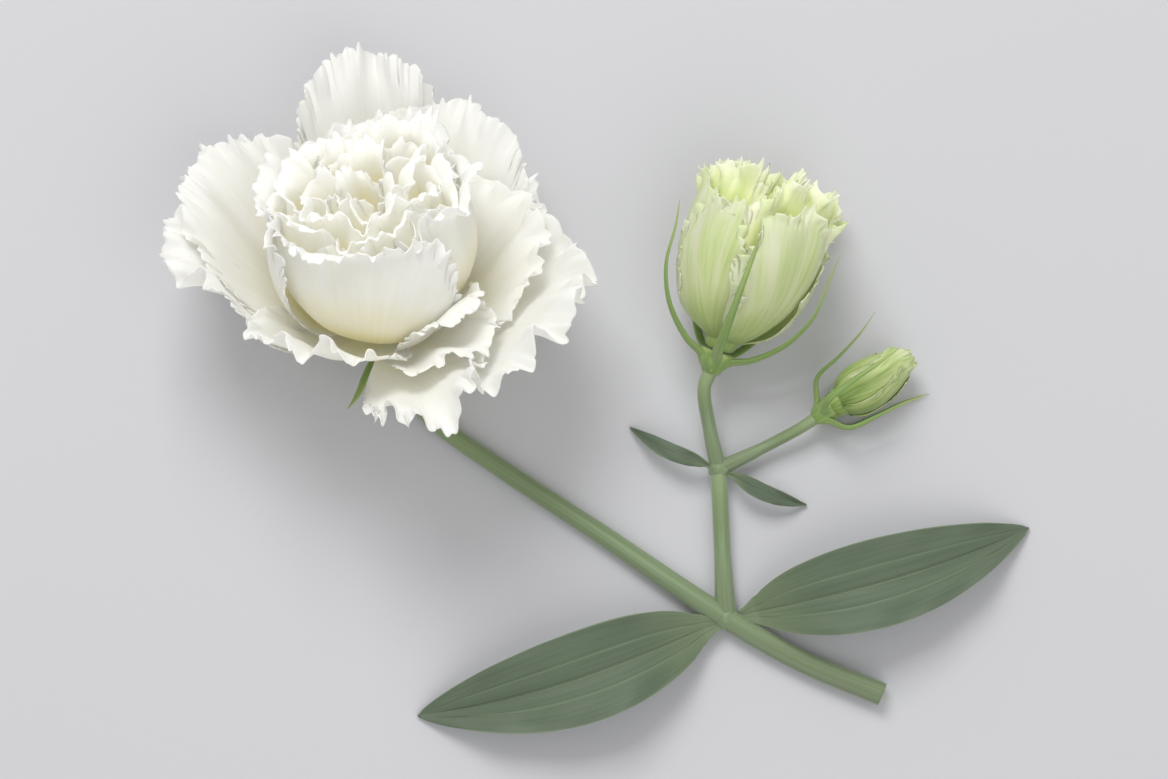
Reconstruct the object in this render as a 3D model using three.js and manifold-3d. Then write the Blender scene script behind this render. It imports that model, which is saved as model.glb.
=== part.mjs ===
// A cut stem of white double lisianthus (Eustoma), lying on a flat surface: one open bloom,
// one half-open bud, one tight bud, a pair of leaves and a pair of small bracts.
// Millimetres, +Z up, the surface at Z = 0.
import * as THREE from 'three';
import { mergeVertices } from 'three/addons/utils/BufferGeometryUtils.js';
import Module from 'manifold-3d';

const wasm = await Module();
wasm.setup();

// ------------------------------------------------------------------------------------------------
// Driving dimensions
// ------------------------------------------------------------------------------------------------
const REST_CENTRE = new THREE.Vector2(-1.36, 13.56);  // middle of the whole flower's box, seen from above
const PETAL_THICKNESS = 0.6;
const LEAF_THICKNESS = 0.8;
const GAP = 0.3;                                      // between pieces that touch
const MERGE_STEPS = [0.05, 0.03, 0.02, 0];            // where pieces fuse, nearer points become one
const PRESS_WIDTH = 1.2;                              // how softly a petal bends where it meets the surface

const BLOOM_SEAT = new THREE.Vector3(-38, 8, 12.5);   // where the bloom's petals start
const BLOOM_TURN = 45;                                // degrees, its turn from the stem's line
const BLOOM_TILT = 45;                                // degrees, how far the bloom looks up
const WELL_FLOOR = 5;                                 // height of the pistil's foot over the petals' roots
const NECK_LENGTH = 8;                                // from the petals down to the calyx's foot
const PISTIL_WELL = 3.4;                              // radius that the petals leave free round the pistil

const CUT_END = new THREE.Vector3(76, 5, 2.3);
const LEAF_NODE = new THREE.Vector3(44, 0, 2.4);
const FORK = new THREE.Vector3(27, 22, 3.2);
const STEM_RADIUS = { cut: 2.1, node: 2.0, neck: 1.6, branch: 1.5, pedicel: 1.25 };

const HALF_BUD_SEAT = new THREE.Vector3(14, 41, 10);
const HALF_BUD_AXIS = new THREE.Vector3(-0.25, 0.94, 0.2).normalize();
const SMALL_BUD_SEAT = new THREE.Vector3(38, 44, 5.0);
const SMALL_BUD_AXIS = new THREE.Vector3(0.38, 0.92, 0.1).normalize();
const SMALL_BUD = { length: 18, radius: 4.6, petals: 5, twist: 70, ridge: 0.09 };

// ------------------------------------------------------------------------------------------------
// Petals
// The petals of a whorl are cut from one wavy surface round the flower's axis, so that they nest
// and don't cross. A profile is the surface's angle from the axis, in degrees, at the root, at two
// points between, and at the tip.
// ------------------------------------------------------------------------------------------------
const PETAL_SPREAD = 48;      // degrees, half the fan that a petal opens to
const CLAW = 2.2;             // half width of the narrow root

// Where a whorl has stations, its profile changes from one to the next round the flower, and each
// station holds a petal.
const OUTER_WHORL = {
  stations: [
    { azimuth: 352, length: 45.8, breadth: 0.85, profile: [90, 80, -42, 96] },
    { azimuth: 101, length: 39, breadth: 0.66, profile: [92, 90, 36, 90] },
    { azimuth: 152, length: 40.5, breadth: 1.15, profile: [92, 88, 20, 84] },
    { azimuth: 208, length: 36, breadth: 1.15, profile: [90, 80, -2, 92] },
    { azimuth: 268, length: 42, breadth: 1.15, profile: [90, 84, 10, 92] },
    { azimuth: 314, length: 47, breadth: 0.85, profile: [90, 76, -28, 90] },
  ],
  root: 3.6, height: 0.4, skew: -1.5, ruffle: 1.6, ruffleOrders: [11, 16], lip: 0, fold: 0, foldOrders: [3, 5],
};
const SECOND_WHORL = {
  stations: [
    { azimuth: 52, length: 32, breadth: 1.15, profile: [87, 80, -2, 70] },
    { azimuth: 122, length: 28, breadth: 0.90, profile: [87, 84, 19, 96] },
    { azimuth: 188, length: 34, breadth: 1.15, profile: [87, 72, 10, 70] },
    { azimuth: 230, length: 44, breadth: 0.80, profile: [87, 62, -19, 60] },
    { azimuth: 265, length: 53.3, breadth: 0.62, profile: [87, 54, -27, 50] },
    { azimuth: 328, length: 46.8, breadth: 0.92, profile: [87, 60, -13, 66] },
  ],
  root: 3.5, height: 1.3, skew: -1.5, ruffle: 1.6, ruffleOrders: [11, 16], lip: 0, fold: 0, foldOrders: [3, 5],
};
// A small curled petal in front of the cup.
const FLAP = {
  count: 1, azimuth: 130, length: 28, breadth: 0.75, profile: [90, 80, -47, 120], sway: [0, 0],
  root: 3.4, height: 2.2, skew: -0.8, ruffle: 0.6, ruffleOrders: [7, 11], lip: 0, fold: 0, foldOrders: [3, 5],
};
// The cup, a smooth ball of broad petals. Only its lip turns out.
const CUP_WHORL = {
  stations: [
    { azimuth: 82, length: 40.6, breadth: 1.5, profile: [81, 56, -38, -6] },
    { azimuth: 185, length: 41, breadth: 1.2, profile: [81, 56, -38, -6] },
    { azimuth: 262, length: 41.5, breadth: 1.1, profile: [81, 56, -36, -6] },
    { azimuth: 335, length: 40, breadth: 1.05, profile: [81, 56, -38, -6] },
  ],
  root: 3.2, height: 3.1, skew: 1.4, ruffle: 0.5, ruffleOrders: [7, 11], lip: 85, fold: 0, foldOrders: [3, 5],
};
// The other whorls are even: a count, a first azimuth and one profile, which sways a little
// round the flower. Those in the cup are folded lengthwise, and their margins reach its rim.
const INNER_WHORL = {
  count: 5, azimuth: 24, length: 38.5, breadth: 0.8, profile: [71, 43, -38, 4], sway: [2, 4],
  root: 3.1, height: 3.5, skew: -1.2, ruffle: 0.6, ruffleOrders: [7, 11], lip: 75,
  fold: 1.0, foldOrders: [5, 9],
};
const FRILLED_WHORL = {
  count: 5, azimuth: 60, length: 36.5, breadth: 0.7, profile: [60, 32, -36, 7], sway: [2, 4],
  root: 3.0, height: 3.8, skew: -1.1, ruffle: 0.6, ruffleOrders: [7, 11], lip: 75,
  fold: 1.6, foldOrders: [5, 8],
};
const HEART_WHORL = {
  count: 4, azimuth: 0, length: 34, breadth: 0.62, profile: [42, 16, -31, 14], sway: [3, 5],
  root: 2.9, height: 4.1, skew: -1.0, ruffle: 0.7, ruffleOrders: [7, 11], lip: 70,
  fold: 1.8, foldOrders: [4, 7],
};
const CORE_WHORL = {
  count: 3, azimuth: 50, length: 31, breadth: 0.36, profile: [16, 6, -24, 20], sway: [2, 4],
  root: 2.8, height: 4.4, skew: -0.7, ruffle: 0.4, ruffleOrders: [7, 11], lip: 50,
  fold: 1.0, foldOrders: [3, 5],
};

// The half-open bud: two whorls closed to a barrel round a fringed heart.
const BUD_OUTER_WHORL = {
  count: 5, azimuth: 0, length: 34, breadth: 0.92, profile: [62, 30, -8, -12], sway: [2, 3],
  root: 2.4, height: 0.5, skew: -1.6, ruffle: 0.4, ruffleOrders: [7, 11], lip: 14,
  fold: 0, foldOrders: [3, 5],
};
const BUD_INNER_WHORL = {
  count: 4, azimuth: 40, length: 36, breadth: 0.7, profile: [44, 24, -10, 0], sway: [2, 3],
  root: 2.0, height: 1.0, skew: -1.3, ruffle: 0.5, ruffleOrders: [7, 11], lip: 10,
  fold: 0.6, foldOrders: [3, 5],
};
const BUD_HEART_WHORL = {
  count: 3, azimuth: 10, length: 34, breadth: 0.4, profile: [18, 12, -4, 4], sway: [2, 3],
  root: 1.6, height: 1.4, skew: -0.8, ruffle: 0.4, ruffleOrders: [7, 11], lip: 20,
  fold: 0.8, foldOrders: [3, 5],
};

const VARY_AZIMUTH = 8;       // degrees, and
const VARY_LENGTH = 0.06;     // part of its length, by which the petals of a whorl differ

// ------------------------------------------------------------------------------------------------
// Small mathematics
// ------------------------------------------------------------------------------------------------
const rad = (degrees) => degrees * Math.PI / 180;
const clamp = (x, low, high) => Math.min(Math.max(x, low), high);

function smooth(low, high, x) {
  const t = clamp((x - low) / (high - low), 0, 1);
  return t * t * (3 - 2 * t);
}

// A repeatable draw between 0 and 1 for petal i, use k.
function chance(i, k) {
  const x = Math.sin(i * 12.9898 + k * 78.233) * 43758.5453;
  return x - Math.floor(x);
}

// Two waves round a flower, of whole numbers of crests, so that they close on themselves.
function crests(azimuth, orders, shift) {
  const [few, many] = orders;
  return (Math.sin(few * azimuth + shift) + Math.sin(many * azimuth + 2.3 * shift + 1)) / Math.SQRT2;
}

function bernstein(controls, t) {
  const s = 1 - t;
  const [a, b, c, d] = controls;
  return a * s ** 3 + 3 * b * s * s * t + 3 * c * s * t * t + d * t ** 3;
}

// The frame of a flower: its Z runs up the flower's axis and its X lies level.
function flowerFrame(seat, axis) {
  const level = new THREE.Vector3(-axis.y, axis.x, 0).normalize();
  const third = new THREE.Vector3().crossVectors(axis, level);
  return new THREE.Matrix4().makeBasis(level, third, axis).setPosition(seat);
}

// Lets a point come to rest: below half a thickness over the surface it is bent level.
function settle(point, half) {
  const above = point.z - half;
  if (above < -PRESS_WIDTH) {
    point.z = half;
  } else if (above < PRESS_WIDTH) {
    point.z = half + (above + PRESS_WIDTH) ** 2 / (4 * PRESS_WIDTH);
  }
  return point;
}

// ------------------------------------------------------------------------------------------------
// Solids
// ------------------------------------------------------------------------------------------------
function geometryOf(positions, index) {
  const geometry = new THREE.BufferGeometry();
  geometry.setAttribute('position', new THREE.Float32BufferAttribute(positions, 3));
  geometry.setIndex(index);
  return geometry;
}

function toManifold(geometry) {
  const bare = geometry.clone();
  bare.deleteAttribute('normal');
  bare.deleteAttribute('uv');
  const merged = mergeVertices(bare, 1e-4);
  return new wasm.Manifold(new wasm.Mesh({
    numProp: 3,
    vertProperties: new Float32Array(merged.attributes.position.array),
    triVerts: new Uint32Array(merged.index.array),
  }));
}

// Whether each edge of a mesh lies between two triangles, also where points a thousandth of a
// unit apart count as one.
function isTight({ vertProperties, triVerts }) {
  const places = new Map();
  const place = (i) => {
    const spot = Array.from(vertProperties.subarray(3 * i, 3 * i + 3), (x) => Math.round(x * 1000)).join();
    if (!places.has(spot)) places.set(spot, places.size);
    return places.get(spot);
  };
  const uses = new Map();
  for (let t = 0; t < triVerts.length; t += 3) {
    const corners = [0, 1, 2].map((k) => place(triVerts[t + k]));
    if (new Set(corners).size < 3) continue;
    corners.forEach((from, k) => {
      const edge = [from, corners[(k + 1) % 3]].sort((x, y) => x - y).join();
      uses.set(edge, (uses.get(edge) ?? 0) + 1);
    });
  }
  return [...uses.values()].every((count) => count === 2);
}

// Joins closed geometries to one body. A hollow sealed in the join is filled and loose scraps are dropped.
function fuse(geometries) {
  const joined = wasm.Manifold.union(geometries.map(toManifold)).asOriginal();
  for (const step of MERGE_STEPS) {
    const lighter = step > 0 ? joined.simplify(step) : joined;
    const bodies = lighter.decompose().sort((a, b) => b.volume() - a.volume());
    const mesh = bodies[0].getMesh();
    if (isTight(mesh)) return geometryOf(mesh.vertProperties, Array.from(mesh.triVerts));
  }
  throw new Error('no merge step gives a closed body');
}

// A blade of even thickness round a middle surface, split into triangles alike on both faces.
function blade(pointAt, columns, rows, thickness) {
  const rowOf = (v) => Array.from({ length: columns + 1 }, (_, c) => pointAt(c, columns, v));
  const middle = rows.map(rowOf);
  const last = rows.length - 1;
  const front = [];
  const back = [];
  for (let r = 0; r <= last; r++) {
    for (let c = 0; c <= columns; c++) {
      const across = middle[r][Math.min(c + 1, columns)].clone().sub(middle[r][Math.max(c - 1, 0)]);
      const along = middle[Math.min(r + 1, last)][c].clone().sub(middle[Math.max(r - 1, 0)][c]);
      const normal = across.cross(along).normalize().multiplyScalar(thickness / 2);
      front.push(...middle[r][c].clone().add(normal).toArray());
      back.push(...middle[r][c].clone().sub(normal).toArray());
    }
  }
  const wide = columns + 1;
  const total = wide * (last + 1);
  const index = [];
  for (let r = 0; r < last; r++) {
    for (let c = 0; c < columns; c++) {
      const [a, b, d, e] = [r * wide + c, r * wide + c + 1, (r + 1) * wide + c, (r + 1) * wide + c + 1];
      index.push(a, b, e, a, e, d);
      index.push(total + a, total + e, total + b, total + a, total + d, total + e);
    }
  }
  const rim = [];
  for (let c = 0; c < columns; c++) rim.push(c);
  for (let r = 0; r < last; r++) rim.push(r * wide + columns);
  for (let c = columns; c > 0; c--) rim.push(last * wide + c);
  for (let r = last; r > 0; r--) rim.push(r * wide);
  rim.forEach((a, i) => {
    const b = rim[(i + 1) % rim.length];
    index.push(a, total + a, total + b, a, total + b, b);
  });
  return geometryOf([...front, ...back], index);
}

// A round bar along a smooth curve through points, with a radius at each point.
function bar(points, radii, sides, steps) {
  const curve = new THREE.CatmullRomCurve3(points, false, 'centripetal');
  const frames = curve.computeFrenetFrames(steps, false);
  const positions = [];
  const index = [];
  for (let s = 0; s <= steps; s++) {
    const t = s / steps;
    const centre = curve.getPointAt(t);
    const place = curve.getUtoTmapping(t) * (radii.length - 1);
    const whole = Math.min(Math.floor(place), radii.length - 2);
    const radius = THREE.MathUtils.lerp(radii[whole], radii[whole + 1], place - whole);
    for (let k = 0; k < sides; k++) {
      const angle = 2 * Math.PI * (k + 0.5) / sides;
      const spoke = frames.normals[s].clone().multiplyScalar(Math.cos(angle) * radius)
        .addScaledVector(frames.binormals[s], Math.sin(angle) * radius);
      positions.push(...centre.clone().add(spoke).toArray());
    }
  }
  for (let s = 0; s < steps; s++) {
    for (let k = 0; k < sides; k++) {
      const [a, b] = [s * sides + k, s * sides + (k + 1) % sides];
      index.push(a, b, b + sides, a, b + sides, a + sides);
    }
  }
  const end = steps * sides;
  for (let k = 1; k < sides - 1; k++) {
    index.push(0, k + 1, k);
    index.push(end, end + k, end + k + 1);
  }
  return geometryOf(positions, index);
}

function lathe(profile, segments) {
  const outline = profile.map(([radius, height]) => new THREE.Vector2(radius, height));
  return new THREE.LatheGeometry(outline, segments).rotateX(Math.PI / 2);
}

// ------------------------------------------------------------------------------------------------
// A petal
// ------------------------------------------------------------------------------------------------
// The profile of a whorl's surface at an azimuth.
function profileAt(whorl, azimuth) {
  if (!whorl.stations) {
    const [middle, tip] = whorl.sway;
    const change = [0, 0, middle * Math.sin(2 * azimuth + 1), tip * Math.sin(3 * azimuth + 2)];
    return whorl.profile.map((angle, m) => angle + change[m]);
  }
  const turn = 2 * Math.PI;
  const count = whorl.stations.length;
  for (let k = 0; k < count; k++) {
    const here = whorl.stations[k];
    const next = whorl.stations[(k + 1) % count];
    const span = (rad(next.azimuth - here.azimuth) + turn) % turn;
    const past = (((azimuth - rad(here.azimuth)) % turn) + turn) % turn;
    if (past <= span) {
      const part = smooth(0.2, 0.8, past / span);
      return here.profile.map((angle, m) => THREE.MathUtils.lerp(angle, next.profile[m], part));
    }
  }
  return whorl.stations[0].profile;
}

// Walks up the surface at one azimuth and keeps how far out and how high it is, from root to tip.
function walk(whorl, length, azimuth) {
  const steps = 48;
  const reach = 1.02;
  const stride = length * reach / (steps - 1);
  const profile = profileAt(whorl, azimuth);
  const line = [];
  let { root: out, height: up } = whorl;
  let before = null;
  for (let i = 0; i < steps; i++) {
    const t = reach * i / (steps - 1);
    const angle = rad(bernstein(profile, Math.min(t, 1)) + whorl.lip * smooth(0.84, 1, t));
    if (before !== null) {
      out += stride * (Math.sin(angle) + Math.sin(before)) / 2;
      up += stride * (Math.cos(angle) + Math.cos(before)) / 2;
    }
    line.push({ t, out, up, angle });
    before = angle;
  }
  return line;
}

function lookUp(line, t) {
  const place = clamp(t / line[line.length - 1].t, 0, 1) * (line.length - 1);
  const low = Math.min(Math.floor(place), line.length - 2);
  const part = place - low;
  const mix = (key) => THREE.MathUtils.lerp(line[low][key], line[low + 1][key], part);
  return { out: mix('out'), up: mix('up'), angle: mix('angle') };
}

// The outline of a petal laid flat: u goes across from -1 to 1, v from the root 0 to the margin 1.
function flatPetal(petal, u, v) {
  const fan = rad(PETAL_SPREAD) * u;
  const radius = petal.length * (1 - 0.55 * Math.abs(u) ** 3.5);
  return {
    across: CLAW * u * (1 - v) + petal.breadth * radius * v * Math.sin(fan),
    along: clamp(radius * v * Math.cos(fan) / petal.length, 0, 1.02),
  };
}

// One line of the petal from root to margin, as a function of v, in the flower's frame.
function petalColumn(petal, whorl, well, u) {
  const margin = flatPetal(petal, u, 1);
  const centre = lookUp(walk(whorl, petal.length, rad(petal.azimuth)), margin.along);
  const azimuth = rad(petal.azimuth) + margin.across / Math.max(centre.out, 3);
  const line = walk(whorl, petal.length, azimuth);
  return (v) => {
    const { across, along } = flatPetal(petal, u, v);
    const { out, up, angle } = lookUp(line, along);
    const turn = rad(petal.azimuth) + across / Math.max(out, 3);
    const ruffle = whorl.ruffle * along ** 2 * crests(turn, whorl.ruffleOrders, 1.7);
    const fold = whorl.fold * smooth(0.35, 0.8, along) * crests(turn, whorl.foldOrders, 0.6);
    const overlap = whorl.skew * u * smooth(0, 0.3, along);
    const lift = ruffle + fold + overlap;
    const clear = Math.max(out + lift * Math.cos(angle), 0);
    const rho = (clear ** 4 + well ** 4) ** 0.25;
    return new THREE.Vector3(rho * Math.cos(turn), rho * Math.sin(turn), up - lift * Math.sin(angle));
  };
}

// The petals of a whorl, each with its own small differences.
function petalsOf(whorl, seed) {
  const even = Array.from({ length: whorl.count ?? 0 }, (_, k) => ({
    azimuth: whorl.azimuth + 360 * k / whorl.count + VARY_AZIMUTH * (chance(k, seed) - 0.5),
    length: whorl.length * (1 + VARY_LENGTH * (chance(k, seed + 1) - 0.5)),
    breadth: whorl.breadth,
  }));
  return whorl.stations ?? even;
}

// The petal as a blade in place. Every other column of the margin is cut short, as the fringe's notches.
function petalBlade(petal, whorl, { frame, well, columns, rows }) {
  const notch = 0.035;
  const pointAt = (c, count, v) => {
    const column = petalColumn(petal, whorl, well, 2 * c / count - 1);
    const cut = v === 1 && c % 2 === 1 ? 1 - notch : 1;
    return settle(column(v * cut).applyMatrix4(frame), PETAL_THICKNESS / 2);
  };
  return blade(pointAt, columns, rows, PETAL_THICKNESS);
}

// ------------------------------------------------------------------------------------------------
// Calyx: a small cup with five narrow sepals. The path of a sepal is given as [out, up] in the
// flower's frame.
// ------------------------------------------------------------------------------------------------
function calyx(frame, cup, sepals, firstAzimuth, sepalWidth) {
  const parts = [lathe(cup, 12).applyMatrix4(frame)];
  sepals.forEach((path, k) => {
    const azimuth = rad(firstAzimuth + 360 * k / sepals.length);
    const radii = path.map((_, i) => sepalWidth * (1 - 0.72 * i / (path.length - 1)));
    const points = path.map(([out, up], i) => {
      const point = new THREE.Vector3(out * Math.cos(azimuth), out * Math.sin(azimuth), up);
      return settle(point.applyMatrix4(frame), radii[i] + GAP / 2);
    });
    parts.push(bar(points, radii, 5, 6));
  });
  return fuse(parts);
}

// ------------------------------------------------------------------------------------------------
// A leaf: an ovate blade, creased at its midrib, that arches over and comes down again
// ------------------------------------------------------------------------------------------------
function leaf({ start, heading, length, width, rise, crease, sway, thickness, columns, count }) {
  const forward = new THREE.Vector3(Math.cos(rad(heading)), Math.sin(rad(heading)), 0);
  const side = new THREE.Vector3(-forward.y, forward.x, 0);
  const rows = Array.from({ length: count + 1 }, (_, i) => i / count);
  const pointAt = (c, across, v) => {
    const u = 2 * c / across - 1;
    const half = leafHalfWidth(v) * width / 2;
    const height = rise * Math.sin(Math.PI * v ** 0.8) * (1 - 0.25 * v) - start.z * v;
    const point = start.clone()
      .addScaledVector(forward, length * v)
      .addScaledVector(side, half * u + sway * Math.sin(Math.PI * v));
    point.z += height + crease * Math.abs(u) * Math.sin(Math.PI * v) + 0.5 * u * Math.sin(7 * v + 2 * u);
    return settle(point, thickness / 2);
  };
  return blade(pointAt, columns, rows, thickness);
}

// Half the width of an ovate leaf, as a part of its greatest, from its stalk 0 to its tip 1.
function leafHalfWidth(v) {
  const stalk = 0.13;
  const body = 1.62 * (v + 0.02) ** 0.62 * (1.03 - v) ** 0.78;
  return Math.max(stalk * (1 - v) + 0.04, Math.min(body, 1));
}

// ------------------------------------------------------------------------------------------------
// The bloom
// ------------------------------------------------------------------------------------------------
const bloomAxis = new THREE.Vector3(
  -Math.cos(rad(BLOOM_TURN)) * Math.cos(rad(BLOOM_TILT)),
  Math.sin(rad(BLOOM_TURN)) * Math.cos(rad(BLOOM_TILT)),
  Math.sin(rad(BLOOM_TILT)),
);
const bloomFrame = flowerFrame(BLOOM_SEAT, bloomAxis);
const WIDE = { frame: bloomFrame, well: PISTIL_WELL, columns: 10, rows: [0, 0.22, 0.42, 0.62, 0.82, 1] };
const NARROW = { frame: bloomFrame, well: PISTIL_WELL, columns: 8, rows: [0, 0.3, 0.6, 0.82, 1] };
const SLIM = { ...NARROW, columns: 6 };
const BLOOM = [
  [OUTER_WHORL, WIDE], [SECOND_WHORL, WIDE], [FLAP, NARROW], [CUP_WHORL, WIDE],
  [INNER_WHORL, NARROW], [FRILLED_WHORL, NARROW], [HEART_WHORL, SLIM], [CORE_WHORL, SLIM],
];

function bloomPetals() {
  const bladesOf = ([whorl, make], i) => petalsOf(whorl, i).map((petal) => petalBlade(petal, whorl, make));
  const blades = BLOOM.flatMap(bladesOf);
  // The heel, where the petals grow together, with the well for the pistil in it.
  const heel = [
    [0, -2], [3.2, -2], [7.5, -0.6], [10.5, 2.5], [10.5, 7], [8.4, 12], [3.3, 13],
    [3.3, WELL_FLOOR], [0, WELL_FLOOR],
  ];
  return fuse([lathe(heel, 14).applyMatrix4(bloomFrame), ...blades]);
}

function bloomCalyx() {
  const cup = [[0, -NECK_LENGTH], [1.9, -NECK_LENGTH], [3.6, -5.5], [4.4, -2.6], [0, -2.6]];
  const sepals = [
    [[3.2, -4.2], [7, -3.6], [12, -5], [17, -8.5], [21, -9.5]],
    [[3.2, -4.2], [7, -3.4], [12, -4], [17, -6], [22, -6]],
    [[3.2, -4.2], [6.5, -3.6], [10, -4.4], [13.5, -6], [17, -6.5]],
    [[3.2, -4.2], [6.5, -3.6], [10, -4.4], [13.5, -6], [17, -6.5]],
    [[3.2, -4.2], [7, -3.4], [12, -4], [17, -6.5], [21, -7]],
  ];
  return calyx(bloomFrame, cup, sepals, 270, 1.15);
}

// The ovary, the style and the two-lobed stigma stand in the well between the innermost petals.
function pistil() {
  const foot = WELL_FLOOR + GAP;
  const ovary = lathe([[0, foot], [1.5, foot], [2.2, foot + 3], [2.1, foot + 7], [1.0, foot + 10],
    [0.8, foot + 14], [0.9, foot + 16], [0, foot + 16]], 10);
  const lobe = (side) => new THREE.SphereGeometry(1.35, 8, 5).scale(0.85, 1, 0.75)
    .translate(side * 0.75, 0, foot + 16.4);
  return fuse([ovary, lobe(-1), lobe(1)]);
}

// ------------------------------------------------------------------------------------------------
// The buds
// ------------------------------------------------------------------------------------------------
const halfBudFrame = flowerFrame(HALF_BUD_SEAT, HALF_BUD_AXIS);
const smallBudFrame = flowerFrame(SMALL_BUD_SEAT, SMALL_BUD_AXIS);
const BUD = { frame: halfBudFrame, well: 1.5, columns: 6, rows: [0, 0.22, 0.45, 0.7, 0.88, 1] };
const HALF_BUD = [BUD_OUTER_WHORL, BUD_INNER_WHORL, BUD_HEART_WHORL];
const HALF_BUD_SEED = 20;     // where its petals' draws start

function halfBudPetals() {
  const blades = HALF_BUD.flatMap((whorl, i) => (
    petalsOf(whorl, HALF_BUD_SEED + i).map((petal) => petalBlade(petal, whorl, BUD))
  ));
  const heel = [[0, -1], [2.6, -1], [5.0, 1.0], [7.0, 3.6], [6.2, 8], [0, 9.4]];
  return fuse([lathe(heel, 12).applyMatrix4(halfBudFrame), ...blades]);
}

function halfBudCalyx() {
  const cup = [[0, -6], [1.4, -6], [3.0, -4], [3.6, -1.6], [0, -1.6]];
  const path = (flare) => [
    [2.6, -3], [7, -0.6], [12.6, 4.6], [15.8, 11], [16.6 + flare, 18], [17.5 + 2 * flare, 23],
  ];
  return calyx(halfBudFrame, cup, [path(1), path(2), path(0.5), path(1.5), path(0)], 235, 1.1);
}

// The tight bud: an ovoid whose twisted petals show as spiral ridges.
function smallBudPetals() {
  const around = 20;
  const up = 10;
  const { length, radius, petals, twist, ridge } = SMALL_BUD;
  const positions = [0, 0, 0];
  const index = [];
  for (let r = 1; r < up; r++) {
    const t = r / up;
    const girth = radius * Math.sin(Math.PI * t ** 0.82) ** 0.75;
    for (let k = 0; k < around; k++) {
      const azimuth = 2 * Math.PI * k / around;
      const wave = 1 + ridge * Math.cos(petals * (azimuth - rad(twist) * t)) * smooth(0.1, 0.5, t);
      positions.push(girth * wave * Math.cos(azimuth), girth * wave * Math.sin(azimuth), length * t);
    }
  }
  positions.push(0, 0, length);
  const tip = positions.length / 3 - 1;
  for (let k = 0; k < around; k++) {
    const next = (k + 1) % around;
    index.push(0, 1 + next, 1 + k);
    index.push(tip, 1 + (up - 2) * around + k, 1 + (up - 2) * around + next);
    for (let r = 0; r < up - 2; r++) {
      const [a, b] = [1 + r * around + k, 1 + r * around + next];
      index.push(a, b, b + around, a, b + around, a + around);
    }
  }
  return geometryOf(positions, index);
}

function smallBudCalyx() {
  const cup = [[0, -4.5], [1.3, -4.5], [2.2, -3], [2.4, -GAP - 0.2], [0, -GAP - 0.2]];
  const path = (flare) => [[2.0, -2.4], [6.0, 0.2], [7.2, 5.5], [7 + flare, 11], [7.4 + 2 * flare, 16]];
  return calyx(smallBudFrame, cup, [path(1), path(0.3), path(1.6), path(0.6), path(1)], 220, 0.85);
}

// ------------------------------------------------------------------------------------------------
// The stem with its side branch, grown as one
// ------------------------------------------------------------------------------------------------
function stem() {
  const onAxis = (seat, axis, distance) => seat.clone().addScaledVector(axis, distance);
  const { cut, node, neck, branch, pedicel } = STEM_RADIUS;
  const main = bar([
    CUT_END, new THREE.Vector3(60, 1.5, 2.2), LEAF_NODE, new THREE.Vector3(16, -0.5, 2.0),
    new THREE.Vector3(-8, -1.2, 1.9), new THREE.Vector3(-22, -1.0, 2.2),
    onAxis(BLOOM_SEAT, bloomAxis, -NECK_LENGTH - 5), onAxis(BLOOM_SEAT, bloomAxis, -NECK_LENGTH - GAP),
  ], [cut, node, node, 1.8, 1.7, neck, neck, 1.8], 10, 23);
  const knot = ({ x, y, z }, radius) => new THREE.SphereGeometry(radius, 10, 6).translate(x, y, z);
  const arm = bar([
    LEAF_NODE, new THREE.Vector3(37, 9, 2.8), FORK,
  ], [node, branch, branch], 8, 8);
  const halfBudStalk = bar([
    FORK, new THREE.Vector3(21.5, 27, 4.8), onAxis(HALF_BUD_SEAT, HALF_BUD_AXIS, -9),
    onAxis(HALF_BUD_SEAT, HALF_BUD_AXIS, -6 - GAP),
  ], [branch, pedicel, pedicel, pedicel + 0.1], 8, 10);
  const smallBudStalk = bar([
    FORK, new THREE.Vector3(31.5, 30, 3.2), onAxis(SMALL_BUD_SEAT, SMALL_BUD_AXIS, -8),
    onAxis(SMALL_BUD_SEAT, SMALL_BUD_AXIS, -4.5 - GAP),
  ], [branch, pedicel * 0.85, pedicel * 0.85, pedicel * 0.9], 8, 10);
  return fuse([main, knot(LEAF_NODE, 2.4), arm, knot(FORK, 1.9), halfBudStalk, smallBudStalk]);
}

// ------------------------------------------------------------------------------------------------
// Leaves and bracts
// ------------------------------------------------------------------------------------------------
const LEAVES = {
  leaf_right: {
    start: LEAF_NODE.clone().add(new THREE.Vector3(3.7, 3.9, 0.3)), heading: 52, length: 54, width: 26,
    rise: 9, crease: 2.2, sway: -2, thickness: LEAF_THICKNESS, columns: 6, count: 12,
  },
  leaf_left: {
    start: LEAF_NODE.clone().add(new THREE.Vector3(-2.2, -3.8, 0.2)), heading: 232, length: 56, width: 27,
    rise: 8, crease: 2.4, sway: 2.5, thickness: LEAF_THICKNESS, columns: 6, count: 12,
  },
  bract_left: {
    start: FORK.clone().add(new THREE.Vector3(-2.3, -0.6, 0.2)), heading: 188, length: 16, width: 5,
    rise: 3.4, crease: 0.5, sway: 1, thickness: PETAL_THICKNESS, columns: 4, count: 6,
  },
  bract_right: {
    start: FORK.clone().add(new THREE.Vector3(2.7, 0.5, 0.2)), heading: 14, length: 15, width: 5,
    rise: 3.0, crease: 0.5, sway: -1, thickness: PETAL_THICKNESS, columns: 4, count: 6,
  },
};

// ------------------------------------------------------------------------------------------------
// The flower
// ------------------------------------------------------------------------------------------------
const flower = new THREE.Group();

function add(name, geometry, colour, roughness, frame) {
  const material = new THREE.MeshStandardMaterial({ color: colour, roughness, metalness: 0 });
  const mesh = new THREE.Mesh(geometry, material);
  mesh.name = name;
  if (frame) mesh.applyMatrix4(frame);
  flower.add(mesh);
}

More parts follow.
